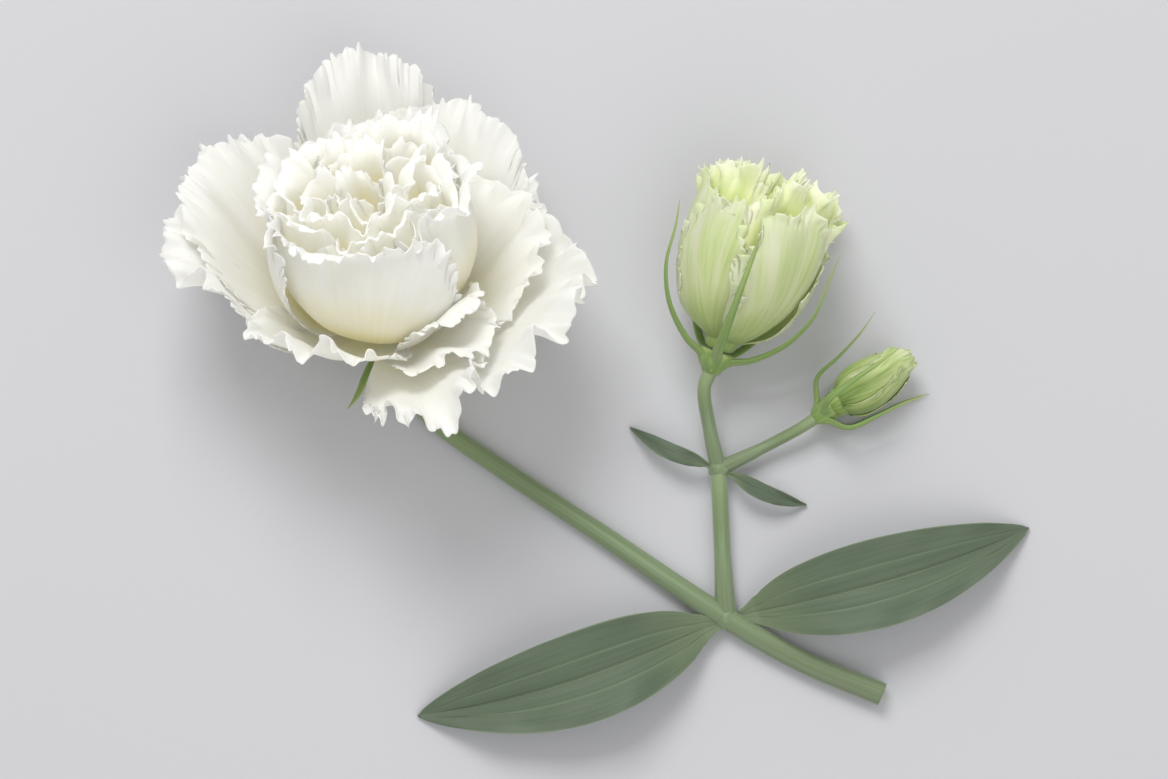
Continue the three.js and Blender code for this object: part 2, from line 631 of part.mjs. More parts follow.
const WHITE = 0xeeeee2;
const CREAM_GREEN = 0xdbe3b4;
const BUD_GREEN = 0xb5c77f;
const CALYX_GREEN = 0x7f9154;
const STEM_GREEN = 0x7c8e68;
const LEAF_GREEN = 0x6a7a60;
const STIGMA_YELLOW = 0xd9b53c;

add('bloom_petals', bloomPetals(), WHITE, 0.6);
add('bloom_calyx', bloomCalyx(), CALYX_GREEN, 0.6);
add('pistil', pistil(), STIGMA_YELLOW, 0.6, bloomFrame);
add('stem', stem(), STEM_GREEN, 0.55);
add('half_bud_petals', halfBudPetals(), CREAM_GREEN, 0.6);
add('half_bud_calyx', halfBudCalyx(), CALYX_GREEN, 0.6);
add('small_bud_petals', smallBudPetals(), BUD_GREEN, 0.6, smallBudFrame);
add('small_bud_calyx', smallBudCalyx(), CALYX_GREEN, 0.6);
for (const [name, shape] of Object.entries(LEAVES)) {
  add(name, leaf(shape), LEAF_GREEN, 0.65);
}

flower.position.set(-REST_CENTRE.x, -REST_CENTRE.y, 0);

export default flower;
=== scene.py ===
# %% [markdown]
# # A cut stem of white lisianthus
# This lesson dresses a plain solid model of a cut flower: one open double bloom, a half-open bud, a tight
# bud and small leaves, lying on a table. The solids fix where everything is. Each step below makes one real
# part again as thin living tissue, close to its solid, and gives it a finish.

# %% Load the solid model
import math

import bpy
import numpy as np
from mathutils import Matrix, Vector


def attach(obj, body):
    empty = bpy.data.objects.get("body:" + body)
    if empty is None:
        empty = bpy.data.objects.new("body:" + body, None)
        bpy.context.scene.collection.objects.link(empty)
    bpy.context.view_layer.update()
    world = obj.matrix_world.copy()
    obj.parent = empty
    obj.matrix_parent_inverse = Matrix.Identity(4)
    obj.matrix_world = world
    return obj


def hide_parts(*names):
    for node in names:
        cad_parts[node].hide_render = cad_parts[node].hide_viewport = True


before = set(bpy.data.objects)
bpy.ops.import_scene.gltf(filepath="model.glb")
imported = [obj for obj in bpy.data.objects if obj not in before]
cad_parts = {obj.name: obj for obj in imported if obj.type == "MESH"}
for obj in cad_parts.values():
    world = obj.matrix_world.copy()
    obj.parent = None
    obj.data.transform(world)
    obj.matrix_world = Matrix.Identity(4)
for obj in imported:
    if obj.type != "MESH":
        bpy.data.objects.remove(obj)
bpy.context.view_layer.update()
print("solid parts:", sorted(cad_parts))

# %% [markdown]
# ## One place for everything
# The flower was drawn in millimetres about the foot of its stem, and then moved so that the middle of its
# box is at the origin. A helper makes that move and the change to metres, so that every later step can use
# the millimetres that a florist would measure.

# %% From drawn millimetres to the scene
MM = 0.001
REST_CENTRE = np.array([-1.36, 13.56, 0.0])


def in_scene(points):
    return (np.asarray(points, float) - REST_CENTRE) * MM


def unit(vector):
    vector = np.asarray(vector, float)
    return vector / np.linalg.norm(vector)


def flower_frame(seat, axis):
    """A matrix of columns and an origin: Z runs up the flower's axis, X lies level."""
    axis = unit(axis)
    level = unit([-axis[1], axis[0], 0.0])
    return np.array([level, np.cross(axis, level), axis]).T, np.asarray(seat, float)


def placed(points, flower):
    turn, seat = flower
    return points @ turn.T + seat


print("the middle of the box in drawn millimetres:", REST_CENTRE)

# %% [markdown]
# ## Small tools for shapes that grow
# Petals are never the same twice, yet they follow one plan. Smooth steps blend one shape into the next, and
# seeded draws make the small differences, so the flower comes out the same on every run.

# %% Smooth steps, draws and waves


def smooth(low, high, x):
    t = np.clip((x - low) / (high - low), 0, 1)
    return t * t * (3 - 2 * t)


def chance(i, k):
    """A repeatable draw between 0 and 1."""
    x = math.sin(i * 12.9898 + k * 78.233) * 43758.5453
    return x - math.floor(x)


def draws(cells, seed):
    """The same kind of draw for a whole array of cells."""
    x = np.sin(cells * 12.9898 + seed * 78.233) * 43758.5453
    return x - np.floor(x)


print("three draws:", [round(chance(i, 1), 3) for i in range(3)])

# %% [markdown]
# ## Thin blades
# A petal or a leaf is a sheet a third of a millimetre thick. It could be a flat mesh with a Solidify
# modifier, but building both faces and the rim at once gives a closed mesh whose edge can thin out, which
# is what makes a petal's margin look soft. The two numbers kept for each point, across and along, become
# the texture coordinates that the veins follow.

# %% Mesh helpers
def make_piece(name, points, faces, uv, material, slot, node):
    """One named piece from millimetres, which takes the place of a solid node."""
    mesh = bpy.data.meshes.new(name)
    mesh.from_pydata(in_scene(points).tolist(), [], faces)
    layer = mesh.uv_layers.new(name="grown")
    corners = np.zeros(len(mesh.loops), np.int32)
    mesh.loops.foreach_get("vertex_index", corners)
    layer.data.foreach_set("uv", np.asarray(uv, np.float32)[corners].ravel())
    mesh.polygons.foreach_set("use_smooth", [True] * len(mesh.polygons))
    mesh.materials.append(material)
    mesh.update()
    piece = bpy.data.objects.new(name, mesh)
    bpy.context.scene.collection.objects.link(piece)
    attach(piece, "root")
    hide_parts(node)
    return piece


def blade_mesh(grid, half, across, along):
    """Points, faces and texture coordinates of a thin closed blade round a grid of middle points."""
    rows, columns = grid.shape[0] - 1, grid.shape[1] - 1
    normal = np.cross(np.gradient(grid, axis=1), np.gradient(grid, axis=0))
    normal /= np.linalg.norm(normal, axis=-1, keepdims=True) + 1e-12
    lift = normal * np.broadcast_to(half, grid.shape[:2])[..., None]
    points = np.concatenate([(grid + lift).reshape(-1, 3), (grid - lift).reshape(-1, 3)])
    one_side = (rows + 1) * (columns + 1)
    index = np.arange(one_side).reshape(rows + 1, columns + 1)
    front = np.stack([index[:-1, :-1], index[:-1, 1:], index[1:, 1:], index[1:, :-1]], -1).reshape(-1, 4)
    rim = np.concatenate([index[0, :-1], index[:-1, -1], index[-1, :0:-1], index[:0:-1, 0]])
    after = np.roll(rim, -1)
    edge = np.stack([rim, rim + one_side, after + one_side, after], -1)
    faces = np.concatenate([front, front[:, ::-1] + one_side, edge])
    uv = np.stack(np.broadcast_arrays(across, along), -1).reshape(-1, 2)
    return points, faces.tolist(), np.concatenate([uv, uv])


def settle(points, half, press=1.2):
    """Lets points come to rest on the table: what would sink is bent level."""
    above = points[..., 2] - half
    bent = half + (above + press) ** 2 / (4 * press)
    height = np.where(above < -press, half, np.where(above < press, bent, points[..., 2]))
    return np.concatenate([points[..., :2], height[..., None]], -1)


print("helpers for blades are ready")

# %% [markdown]
# ## How a petal grows
# The petals of a whorl are cut from one wavy surface round the flower's axis, so they nest instead of
# crossing. A profile gives that surface's angle from the axis at the root, at two points between and at the
# tip. Where a whorl has stations, each station is a petal with its own profile, and the surface changes
# smoothly from one to the next. The alternative is to model one petal and copy it, but copies show.

# %% The surface that a whorl is cut from
STEPS = 48
REACH = 1.02            # how far the surface is worked out, in petal lengths
LIP_START = 0.84        # where a lip begins to turn out, in petal lengths


def profile_at(whorl, azimuth):
    """The four angles of the profile at each azimuth, as an array of four rows."""
    if "stations" not in whorl:
        angles = np.array(whorl["profile"], float)[:, None] * np.ones((1, azimuth.size))
        angles[2] += whorl["sway"][0] * np.sin(2 * azimuth + 1)
        angles[3] += whorl["sway"][1] * np.sin(3 * azimuth + 2)
        return angles
    stations = whorl["stations"]
    angles = np.zeros((4, azimuth.size))
    for here, after in zip(stations, stations[1:] + stations[:1]):
        span = math.radians((after[0] - here[0]) % 360)
        past = np.mod(azimuth - math.radians(here[0]), 2 * math.pi)
        inside = past <= span
        part = smooth(0.2, 0.8, past / span)
        for m in range(4):
            angles[m][inside] = (here[3][m] + (after[3][m] - here[3][m]) * part)[inside]
    return angles


def walk(whorl, length, azimuth):
    """How far out and how high the surface is, and its angle, on the way from root to tip."""
    t = np.linspace(0, REACH, STEPS)[:, None]
    a, b, c, d = profile_at(whorl, azimuth)
    tip = np.minimum(t, 1)
    root = 1 - tip
    angle = a * root**3 + 3 * b * root**2 * tip + 3 * c * root * tip**2 + d * tip**3
    angle = np.radians(angle + whorl["lip"] * smooth(whorl.get("roll", LIP_START), 1, t))
    stride = length * REACH / (STEPS - 1)
    start = np.zeros((1, azimuth.size))
    outward = np.cumsum((np.sin(angle[1:]) + np.sin(angle[:-1])) / 2 * stride, 0)
    upward = np.cumsum((np.cos(angle[1:]) + np.cos(angle[:-1])) / 2 * stride, 0)
    return whorl["root"] + np.vstack([start, outward]), whorl["height"] + np.vstack([start, upward]), angle


def look_up(table, t):
    place = np.clip(t / REACH, 0, 1) * (STEPS - 1)
    low = np.minimum(np.floor(place).astype(int), STEPS - 2)
    part = place - low
    column = np.arange(table.shape[1])[None, :]
    return table[low, column] * (1 - part) + table[low + 1, column] * part


print("a profile is walked in", STEPS, "steps")

# %% [markdown]
# ## The fringe
# The margin of this double lisianthus is fringed: blunt fingers one to two millimetres long with narrow
# notches between them, on a margin that also waves because it is longer than the petal is wide. Both are
# laid out by the way along the margin, so the fingers are as wide at the sides as at the tip. The notches
# move points in the plane of the petal, and the waves push its outer part up and down. At the sides the
# waves only lift a petal away from its neighbour, which keeps all but a few fingers from crossing.

# %% The margin of a petal
PETAL_SPREAD = math.radians(48)     # from a petal's middle line to its side
CLAW = 2.2                          # mm, half the width of the foot that a petal fans out from
FOLD_ORDERS = (3, 5)                # deep folds in one turn round the flower


def margin_style(pitch=2.3, depth=1.5, point=4.0, broad=1.4, fine=0.95, bend=0.55, start=0.4):
    """Millimetres of a margin: finger pitch and depth, and how far three sizes of wave push it up and down.
    A higher point makes blunter fingers, and the waves begin at start, as a part of the petal's length."""
    return dict(pitch=pitch, depth=depth, point=point, broad=broad, fine=fine, bend=bend, start=start)


def crests(azimuth, orders, shift):
    """Few and many waves in one turn round the flower, added up."""
    few, many = orders
    return (np.sin(few * azimuth + shift) + np.sin(many * azimuth + 2.3 * shift + 1)) / math.sqrt(2)


def flat_petal(petal, u, v):
    """The petal laid flat: across from its middle line and along it, u from -1 to 1, v from 0 to 1."""
    _, length, breadth, _ = petal
    fan = PETAL_SPREAD * u
    radius = length * (1 - 0.55 * np.abs(u) ** 3.5)
    across = CLAW * u * (1 - v) + breadth * radius * v * np.sin(fan)
    return across, np.clip(radius * v * np.cos(fan) / length, 0, REACH)


def margin_line(petal, pitch):
    """Evenly spaced columns on the margin, the way along it, and its outward direction when flat."""
    _, length, _, _ = petal
    fine = np.linspace(-1, 1, 800)
    across, along = flat_petal(petal, fine, 1.0)
    way = np.concatenate([[0], np.cumsum(np.hypot(np.diff(across), np.diff(along) * length))])
    even = np.linspace(0, way[-1], int(way[-1] / pitch) + 1)
    u = np.interp(even, way, fine)
    across, along = flat_petal(petal, u, 1.0)
    step = np.stack([np.gradient(across), np.gradient(along * length)])
    step /= np.hypot(*step)
    return u, even, (-step[1], step[0])


def fingers_at(way, pitch, seed):
    """The finger that each point of the margin belongs to, and its place between two notches, 0 to 1.
    The two sines make the fingers unlike in width."""
    place = way / pitch + 0.3 * np.sin(0.9 * way + seed) + 0.2 * np.sin(2.3 * way + 2.1 * seed)
    cell = np.floor(place)
    return cell, place - cell


def fringe(way, style, seed):
    """How far each point of the margin is cut back, in finger depths."""
    cell, inside = fingers_at(way, style["pitch"], seed)
    near = np.abs(2 * inside - 1)
    notch = near ** style["point"] * (0.45 + 0.8 * draws(cell + (inside > 0.5), seed * 5.7))
    return notch + 0.6 * draws(cell, seed * 3.1) * (1 - near**6)


def flutter(way, style, seed):
    """Fingers bend up and down in turn."""
    cell, inside = fingers_at(way, style["pitch"], seed)
    return np.sin(math.pi * inside) * (1 - 2 * np.mod(cell, 2)) * (0.4 + 0.9 * draws(cell, seed * 1.3))


def uneven_waves(way, wavelength, seed, count=3, spread=0.3):
    """Waves of nearly the same length laid over each other, as in a margin that grew too long."""
    total = 0
    for k in range(count):
        pitch = wavelength * (1 + spread * (2 * chance(seed, 11 + k) - 1))
        total = total + np.sin(2 * math.pi * (way / pitch + chance(seed, 31 + k)))
    return total / math.sqrt(count)


print("a margin of 50 mm has", round(50 / margin_style()["pitch"]), "fingers")

# %% Waves of the margin
BROAD_WAVE, FINE_WAVE = 15, 7       # mm from crest to crest along the margin
LEAST_LIFT = 0.2                    # mm, the least that overlapping margins lift away from each other


def margin_waves(way, v, style, seed):
    """How far each point is pushed up or down, most at the margin itself."""
    start = style["start"]
    later, last = start + (1 - start) / 3, (1 + start) / 2
    waves = style["broad"] * smooth(start, 1, v) ** 1.5 * uneven_waves(way, BROAD_WAVE, seed + 20)
    waves = waves + style["fine"] * smooth(later, 1, v) ** 1.5 * uneven_waves(way, FINE_WAVE, seed + 30)
    return waves + style["bend"] * smooth(last, 1, v) ** 1.5 * flutter(way, style, seed)


def kept_from_neighbours(waves, skew, u):
    """Towards the sides of a petal, turns its waves into lifts that all go one way."""
    beside = smooth(0.4, 0.8, np.abs(u))
    apart = np.sign(skew * u) * np.hypot(waves, LEAST_LIFT)
    return waves * (1 - beside) + apart * beside


print("the waves of a margin are", BROAD_WAVE, "and", FINE_WAVE, "mm long")

# %% [markdown]
# ## From flat to standing
# A petal is first laid flat, as a fan on a narrow claw. Then its margin is cut, and only then is it laid on
# the whorl's surface and lifted by its folds and waves. Sculpting one petal would be quicker, but all
# fifty-one petals of this stem come from the lines below.

# %% One petal as a grid of points
COLUMN_PITCH = 0.24     # mm from column to column, along the margin
FRINGE_START = 0.8      # the part of the petal's length where the fringe begins
FRINGE_ROWS = 14        # rows that are kept for the part with the fringe
OUTLINE_SWING = 0.8     # mm, how far the whole outline swings in and out
LEAST_RADIUS = 3        # mm, so that the turn about the axis stays small near it


def petal_grid(petal, whorl, seed, well, rows, style):
    """The middle points of a petal in its flower's frame, and their places across and along it."""
    azimuth, length, _, _ = petal
    u, way, outward = margin_line(petal, COLUMN_PITCH)
    v = np.concatenate([np.linspace(0, FRINGE_START, rows + 1 - FRINGE_ROWS),
                        np.linspace(FRINGE_START + 0.02, 1, FRINGE_ROWS)])[:, None]
    first = math.radians(azimuth)
    ends, reach = flat_petal(petal, u, np.ones(u.size))
    out, _, _ = walk(whorl, length, np.full(u.size, first))
    end_radius = np.maximum(look_up(out, reach[None, :])[0], LEAST_RADIUS)
    tables = walk(whorl, length, first + ends / end_radius)

    across, along = flat_petal(petal, u[None, :], v)
    cut = style["depth"] * fringe(way, style, seed) + OUTLINE_SWING * uneven_waves(way, BROAD_WAVE, seed + 60)
    cut = cut * smooth(FRINGE_START, 1, v)
    across = across - cut * outward[0]
    along = np.clip(along - cut * outward[1] / length, 0, REACH)

    out, up, angle = [look_up(table, along) for table in tables]
    turn = first + across / np.maximum(out, LEAST_RADIUS) + math.radians(whorl.get("twist", 0)) * along
    folds = crests(turn, whorl.get("folds", FOLD_ORDERS), 0.6)
    lift = whorl["ruffle"] * along**2 * crests(turn, whorl["orders"], 1.7)
    lift = lift + whorl["fold"] * smooth(0.35, 0.8, along) * folds
    lift = lift + whorl["skew"] * u * smooth(0, 0.3, along)
    waves = kept_from_neighbours(margin_waves(way, v, style, seed), whorl["skew"], u)
    lift = lift + waves * smooth(0.4, 0.85, along)

    clear = np.maximum(out + lift * np.cos(angle), 0)
    rho = (clear**4 + well**4) ** 0.25
    points = np.stack([rho * np.cos(turn), rho * np.sin(turn), up - lift * np.sin(angle)], -1)
    return points, (u[None, :] + 1) / 2, v


print("a petal is a grid with a column every", COLUMN_PITCH, "mm of its margin")

# %% [markdown]
# ## Petal finish
# A white petal is cream and faintly green at its root and cool white at the margin, with fine veins that
# fan out from the root. It scatters light inside and lets some through, so shadows on it stay soft and
# bright. A photograph of a petal could be wrapped on, but it would repeat on every petal. Here a ColorRamp
# along the petal gives the colour, a Noise texture stretched along it gives the veins, and subsurface
# scattering mixed with a Translucent shader gives the softness. The buds use it with greener colours.

# %% Parts of a finish
def colour_ramp(nodes, stops):
    """A ColorRamp node whose stops are (place, colour)."""
    ramp = nodes.new("ShaderNodeValToRGB")
    while len(ramp.color_ramp.elements) < len(stops):
        ramp.color_ramp.elements.new(0.5)
    for element, (place, colour) in zip(ramp.color_ramp.elements, stops):
        element.position = place
        element.color = (*colour, 1)
    return ramp


def vein_streaks(nodes, links, grown, veins):
    """Noise that is fine across the piece and long along it."""
    stretch = nodes.new("ShaderNodeMapping")
    stretch.inputs["Scale"].default_value = (veins, 2.2, 1)
    links.new(grown.outputs[0], stretch.inputs[0])
    streaks = nodes.new("ShaderNodeTexNoise")
    streaks.inputs["Scale"].default_value = 1.0
    streaks.inputs["Detail"].default_value = 3.0
    streaks.inputs["Distortion"].default_value = 0.35
    links.new(stretch.outputs[0], streaks.inputs["Vector"])
    return streaks


def uneven_roughness(nodes, links, surface, roughness):
    """Patches of a few millimetres that are a little duller or glossier."""
    patches = nodes.new("ShaderNodeTexNoise")
    patches.inputs["Scale"].default_value = 90.0
    patches.inputs["Detail"].default_value = 4.0
    place = nodes.new("ShaderNodeTexCoord")
    links.new(place.outputs["Object"], patches.inputs["Vector"])
    rough = nodes.new("ShaderNodeMapRange")
    rough.inputs["To Min"].default_value = roughness - 0.08
    rough.inputs["To Max"].default_value = roughness + 0.1
    links.new(patches.outputs["Fac"], rough.inputs["Value"])
    links.new(rough.outputs[0], surface.inputs["Roughness"])


def let_light_through(nodes, links, surface, veined, share):
    """Mixes in a Translucent shader of the same colour."""
    passing = nodes.new("ShaderNodeBsdfTranslucent")
    links.new(veined.outputs["Result"], passing.inputs["Color"])
    both = nodes.new("ShaderNodeMixShader")
    both.inputs[0].default_value = share
    links.new(surface.outputs[0], both.inputs[1])
    links.new(passing.outputs[0], both.inputs[2])
    links.new(both.outputs[0], nodes["Material Output"].inputs["Surface"])


print("the parts of a finish are ready")

# %% A finish for living tissue
def tissue(name, stops, vein_colour, veins, roughness, scatter, bump, sheen=0.15, through=0.0, glow=0.0):
    """A material: stops are (place along the piece, colour), veins is about how many cross it, through is
    the share of light that passes, and glow stands in for light that bounces between crowded petals."""
    material = bpy.data.materials.new(name)
    material.use_nodes = True
    nodes, links = material.node_tree.nodes, material.node_tree.links
    surface = nodes["Principled BSDF"]
    grown = nodes.new("ShaderNodeUVMap")
    grown.uv_map = "grown"
    split = nodes.new("ShaderNodeSeparateXYZ")
    links.new(grown.outputs[0], split.inputs[0])
    ramp = colour_ramp(nodes, stops)
    ramp.color_ramp.interpolation = "EASE"
    links.new(split.outputs["Y"], ramp.inputs[0])
    streaks = vein_streaks(nodes, links, grown, veins)
    spread = nodes.new("ShaderNodeMapRange")
    spread.inputs["From Min"].default_value = 0.42
    spread.inputs["From Max"].default_value = 0.72
    links.new(streaks.outputs["Fac"], spread.inputs["Value"])
    veined = nodes.new("ShaderNodeMix")
    veined.data_type = "RGBA"
    veined.blend_type = "MULTIPLY"
    veined.inputs["B"].default_value = (*vein_colour, 1)
    links.new(spread.outputs[0], veined.inputs["Factor"])
    links.new(ramp.outputs[0], veined.inputs["A"])
    links.new(veined.outputs["Result"], surface.inputs["Base Color"])
    uneven_roughness(nodes, links, surface, roughness)
    relief = nodes.new("ShaderNodeBump")
    relief.inputs["Strength"].default_value = bump
    relief.inputs["Distance"].default_value = 0.0003
    links.new(streaks.outputs["Fac"], relief.inputs["Height"])
    links.new(relief.outputs[0], surface.inputs["Normal"])
    surface.inputs["Subsurface Weight"].default_value = scatter
    surface.inputs["Subsurface Radius"].default_value = (1.0, 1.0, 0.9)
    surface.inputs["Subsurface Scale"].default_value = 0.001
    surface.inputs["Sheen Weight"].default_value = sheen
    surface.inputs["Sheen Roughness"].default_value = 0.5
    surface.inputs["Specular IOR Level"].default_value = 0.35
    # Painted light: a faint emission in the colour just inside the margin stands in for light bounced between
    # crowded petals.
    _, colour_inside_margin = stops[-2]
    surface.inputs["Emission Color"].default_value = (*colour_inside_margin, 1)
    surface.inputs["Emission Strength"].default_value = glow
    if through:
        let_light_through(nodes, links, surface, veined, through)
    return material


print("a finish takes its colours, its veins and how it handles light")

# %% [markdown]
# ## Three whites
# The outer petals are white nearly down to the root. The belly of the cup turns cream towards its base, and
# the crowded petals of the rosette are cream deep inside. Colour could depend on height above the table,
# but stops along each petal keep the cream at its root however the petal stands.

# %% Petal materials
WHITE_STOPS = [
    (0.0, (0.58, 0.64, 0.33)), (0.14, (0.86, 0.83, 0.58)), (0.38, (0.93, 0.915, 0.82)),
    (0.75, (0.945, 0.94, 0.90)), (1.0, (0.96, 0.96, 0.935)),
]
BELLY_STOPS = [
    (0.0, (0.62, 0.66, 0.33)), (0.34, (0.88, 0.83, 0.50)), (0.54, (0.94, 0.92, 0.77)),
    (0.74, (0.955, 0.955, 0.915)), (1.0, (0.965, 0.965, 0.95)),
]
CREAM_HEART_STOPS = [
    (0.0, (0.60, 0.64, 0.30)), (0.35, (0.88, 0.80, 0.46)), (0.68, (0.945, 0.905, 0.70)),
    (0.85, (0.955, 0.95, 0.89)), (1.0, (0.965, 0.965, 0.95)),
]
petal_veins = dict(vein_colour=(0.975, 0.965, 0.925), veins=70, roughness=0.55, scatter=0.5, bump=0.3,
                   through=0.35)
# Each glow is painted light: an emission standing in for light bounced between petals, strongest in the
# crowded rosette.
white_petal = tissue("white_petal_tissue", WHITE_STOPS, glow=0.05, **petal_veins)
belly_petal = tissue("belly_petal_tissue", BELLY_STOPS, glow=0.05, **petal_veins)
cream_hearted_petal = tissue("cream_hearted_petal_tissue", CREAM_HEART_STOPS, glow=0.12, **petal_veins)
print("made", white_petal.name, "and", cream_hearted_petal.name)

# %% [markdown]
# ## The open bloom
# The bloom has six broad outer petals, six more over them, a small curled petal in front, a cup of four,
# and a frilled rosette of seventeen that hides the well of the pistil. A station gives one petal's azimuth
# round the flower, its length and breadth, and its profile, and these were set one by one until each petal
# stood as on the real bloom. The erect ones stand behind the rosette, and the flat ones reach forward, which
# shows the smooth belly of the cup. The rosette's petals are alike, so each of its whorls is spaced evenly.

# %% The whorls of the bloom
def whorl(root, height, skew, ruffle, orders=(7, 11), lip=0, fold=0.0, **others):
    """Where a whorl starts, how far its petals slant over each other, and how its surface waves and ends."""
    shape = dict(root=root, height=height, skew=skew, ruffle=ruffle, orders=orders, lip=lip, fold=fold)
    return {**shape, **others}


BLOOM = {
    "outer": whorl(3.6, 0.4, -1.5, 1.6, (11, 16), stations=[
        (352, 45.8, 0.85, (90, 80, -42, 96)), (101, 39, 0.66, (92, 90, 36, 90)),
        (152, 40.5, 1.15, (92, 88, 20, 84)), (208, 36, 1.15, (90, 80, -2, 92)),
        (268, 42, 1.15, (90, 84, 10, 92)), (314, 47, 0.85, (90, 76, -28, 90))]),
    "second": whorl(3.5, 1.3, -1.5, 1.6, (11, 16), stations=[
        (52, 32, 1.15, (87, 80, -2, 70)), (122, 28, 0.90, (87, 84, 19, 96)),
        (188, 34, 1.15, (87, 72, 10, 70)), (230, 44, 0.80, (87, 62, -19, 60)),
        (265, 53.3, 0.62, (87, 54, -27, 50)), (328, 46.8, 0.92, (87, 60, -13, 66))]),
    "curled": whorl(3.4, 2.2, -0.8, 0.6, sway=(0, 0), profile=(90, 80, -47, 120), even=(1, 130, 28, 0.75)),
    "cup": whorl(3.2, 3.1, 1.8, 0.5, lip=100, roll=0.8, stations=[
        (64, 40.6, 1.27, (81, 56, -38, -6)), (164, 40.2, 1.2, (81, 56, -38, -6)),
        (250, 41.5, 1.15, (81, 56, -36, -6)), (335, 40.0, 1.05, (81, 56, -38, -6))]),
    "inner": whorl(3.1, 3.5, -1.2, 0.6, lip=75, fold=1.0, folds=(5, 9), sway=(2, 4),
                   profile=(71, 43, -38, 4), even=(5, 24, 38.5, 0.8)),
    "frilled": whorl(3.0, 3.8, -1.1, 0.6, lip=75, fold=1.6, folds=(5, 8), sway=(2, 4),
                     profile=(60, 32, -36, 7), even=(5, 60, 36.5, 0.7)),
    "heart": whorl(2.9, 4.1, -1.0, 0.7, lip=70, fold=1.8, folds=(4, 7), sway=(3, 5),
                   profile=(42, 16, -31, 14), even=(4, 0, 34, 0.62)),
    "core": whorl(2.8, 4.4, -0.7, 0.4, lip=50, fold=1.0, sway=(2, 4),
                  profile=(16, 6, -24, 20), even=(3, 50, 31, 0.36)),
}
VARY_AZIMUTH = 8        # degrees, the range in which evenly spaced petals differ
VARY_LENGTH = 0.06      # the same for their lengths, as a part of the length


def petals_of(whorl, seed):
    """The stations, or as many even petals with their own small differences."""
    if "stations" in whorl:
        return whorl["stations"]
    count, azimuth, length, breadth = whorl["even"]
    petals = []
    for k in range(count):
        own_azimuth = azimuth + 360 * k / count + VARY_AZIMUTH * (chance(k, seed) - 0.5)
        own_length = length * (1 + VARY_LENGTH * (chance(k, seed + 1) - 0.5))
        petals.append((own_azimuth, own_length, breadth, whorl["profile"]))
    return petals


print("petals in the bloom:", sum(len(petals_of(w, i)) for i, w in enumerate(BLOOM.values())))

# %% [markdown]
# ## Growing every petal
# Each petal becomes a mesh of its own, so that its finish follows its own root and tip. One mesh for the
# whole bloom would be lighter, but its colours would have to be painted. The margins differ from whorl to
# whorl: long waves on the outer petals, deep fingers on the lip of the cup, and smaller ones in the rosette.

# %% Grow the bloom
BLOOM_SEAT = (-38, 8, 12.5)
BLOOM_AXIS = (-0.5, 0.5, math.sqrt(0.5))
SOLID_HALF = 0.3        # mm, half the solid's blade, which a petal stays within where it rests
PETAL_HALF = 0.16       # mm, half a petal's thickness
THINNED = 0.07          # mm, how much of that is gone at the margin
bloom = flower_frame(BLOOM_SEAT, BLOOM_AXIS)


def grow_petals(label, whorls, flower, well, first_seed, finishes, slot, node, rows, styles):
    """Every petal of a flower as a piece. A whorl with no finish or style of its own takes the outer's."""
    made = []
    for i, (name, surface) in enumerate(whorls.items()):
        material = finishes.get(name, finishes["outer"])
        style = styles.get(name, styles["outer"])
        for k, petal in enumerate(petals_of(surface, first_seed + i)):
            seed = 10 * (first_seed + i) + k + 1
            grid, across, along = petal_grid(petal, surface, seed, well, rows, style)
            grid = settle(placed(grid, flower), SOLID_HALF)
            half = PETAL_HALF - THINNED * smooth(0.7, 1, along)
            mesh = blade_mesh(grid, half, across, along)
            made.append(make_piece(f"{label}_{name}_petal_{k + 1}", *mesh, material, slot, node))
    return made


bloom_finishes = {name: cream_hearted_petal for name in ("inner", "frilled", "heart", "core")}
bloom_finishes.update(outer=white_petal, cup=belly_petal)
bloom_styles = {
    "outer": margin_style(pitch=2.5, depth=1.7, point=3.0, broad=1.3, fine=1.8, bend=1.1, start=0.62),
    "second": margin_style(pitch=2.4, depth=1.7, point=3.0, broad=0.7, fine=0.9, bend=1.0, start=0.64),
    "curled": margin_style(broad=0.8, start=0.6),
    "cup": margin_style(pitch=2.8, depth=2.1, point=2.4, broad=0.9, fine=1.3, bend=1.2, start=0.82),
    "inner": margin_style(pitch=2.6, point=3.0, broad=0.7, fine=0.9, bend=0.8, start=0.62),
    "frilled": margin_style(pitch=2.6, point=3.0, broad=0.7, fine=0.9, bend=0.8, start=0.62),
    "heart": margin_style(pitch=2.5, point=3.0, broad=0.7, fine=0.8, bend=0.7, start=0.6),
    "core": margin_style(pitch=2.4, point=3.0, broad=0.5, fine=0.7, bend=0.6, start=0.6),
}
PISTIL_WELL = 3.4       # mm, the radius that the petals leave free
bloom_petals = grow_petals("bloom", BLOOM, bloom, PISTIL_WELL, 0, bloom_finishes, "petal_white",
                           "bloom_petals", 44, bloom_styles)
print("made", len(bloom_petals), "petals")

# %% [markdown]
# ## Turned forms
# The heels, the small cups of the calyxes and the pistil are all round in plan. A curve with a Screw modifier
# would turn them, but doing it by hand lets a few ribs be pushed into the surface, so that it does not look
# machined, and gives texture coordinates that run along the outline.

# %% Turn an outline
def capped_rings(rings, start, end):
    """Closes a stack of rings with a point at either end, and gives its points and faces."""
    count, around = rings.shape[:2]
    points = np.concatenate([[start], rings.reshape(-1, 3), [end]])
    index = 1 + np.arange(count * around).reshape(count, around)
    after = np.roll(index, -1, 1)
    faces = np.stack([index[:-1], after[:-1], after[1:], index[1:]], -1).reshape(-1, 4).tolist()
    faces += [[0, b, a] for a, b in zip(index[0].tolist(), after[0].tolist())]
    faces += [[len(points) - 1, a, b] for a, b in zip(index[-1].tolist(), after[-1].tolist())]
    return points, faces


def ring_coordinates(along, around):
    """Texture coordinates of capped rings: there and back round a ring, and along the stack."""
    across = np.abs(np.linspace(-1, 1, around))[None, :]
    uv = np.stack(np.broadcast_arrays(across, along[:, None]), -1).reshape(-1, 2)
    return np.concatenate([[[0, 0]], uv, [[0, 1]]])


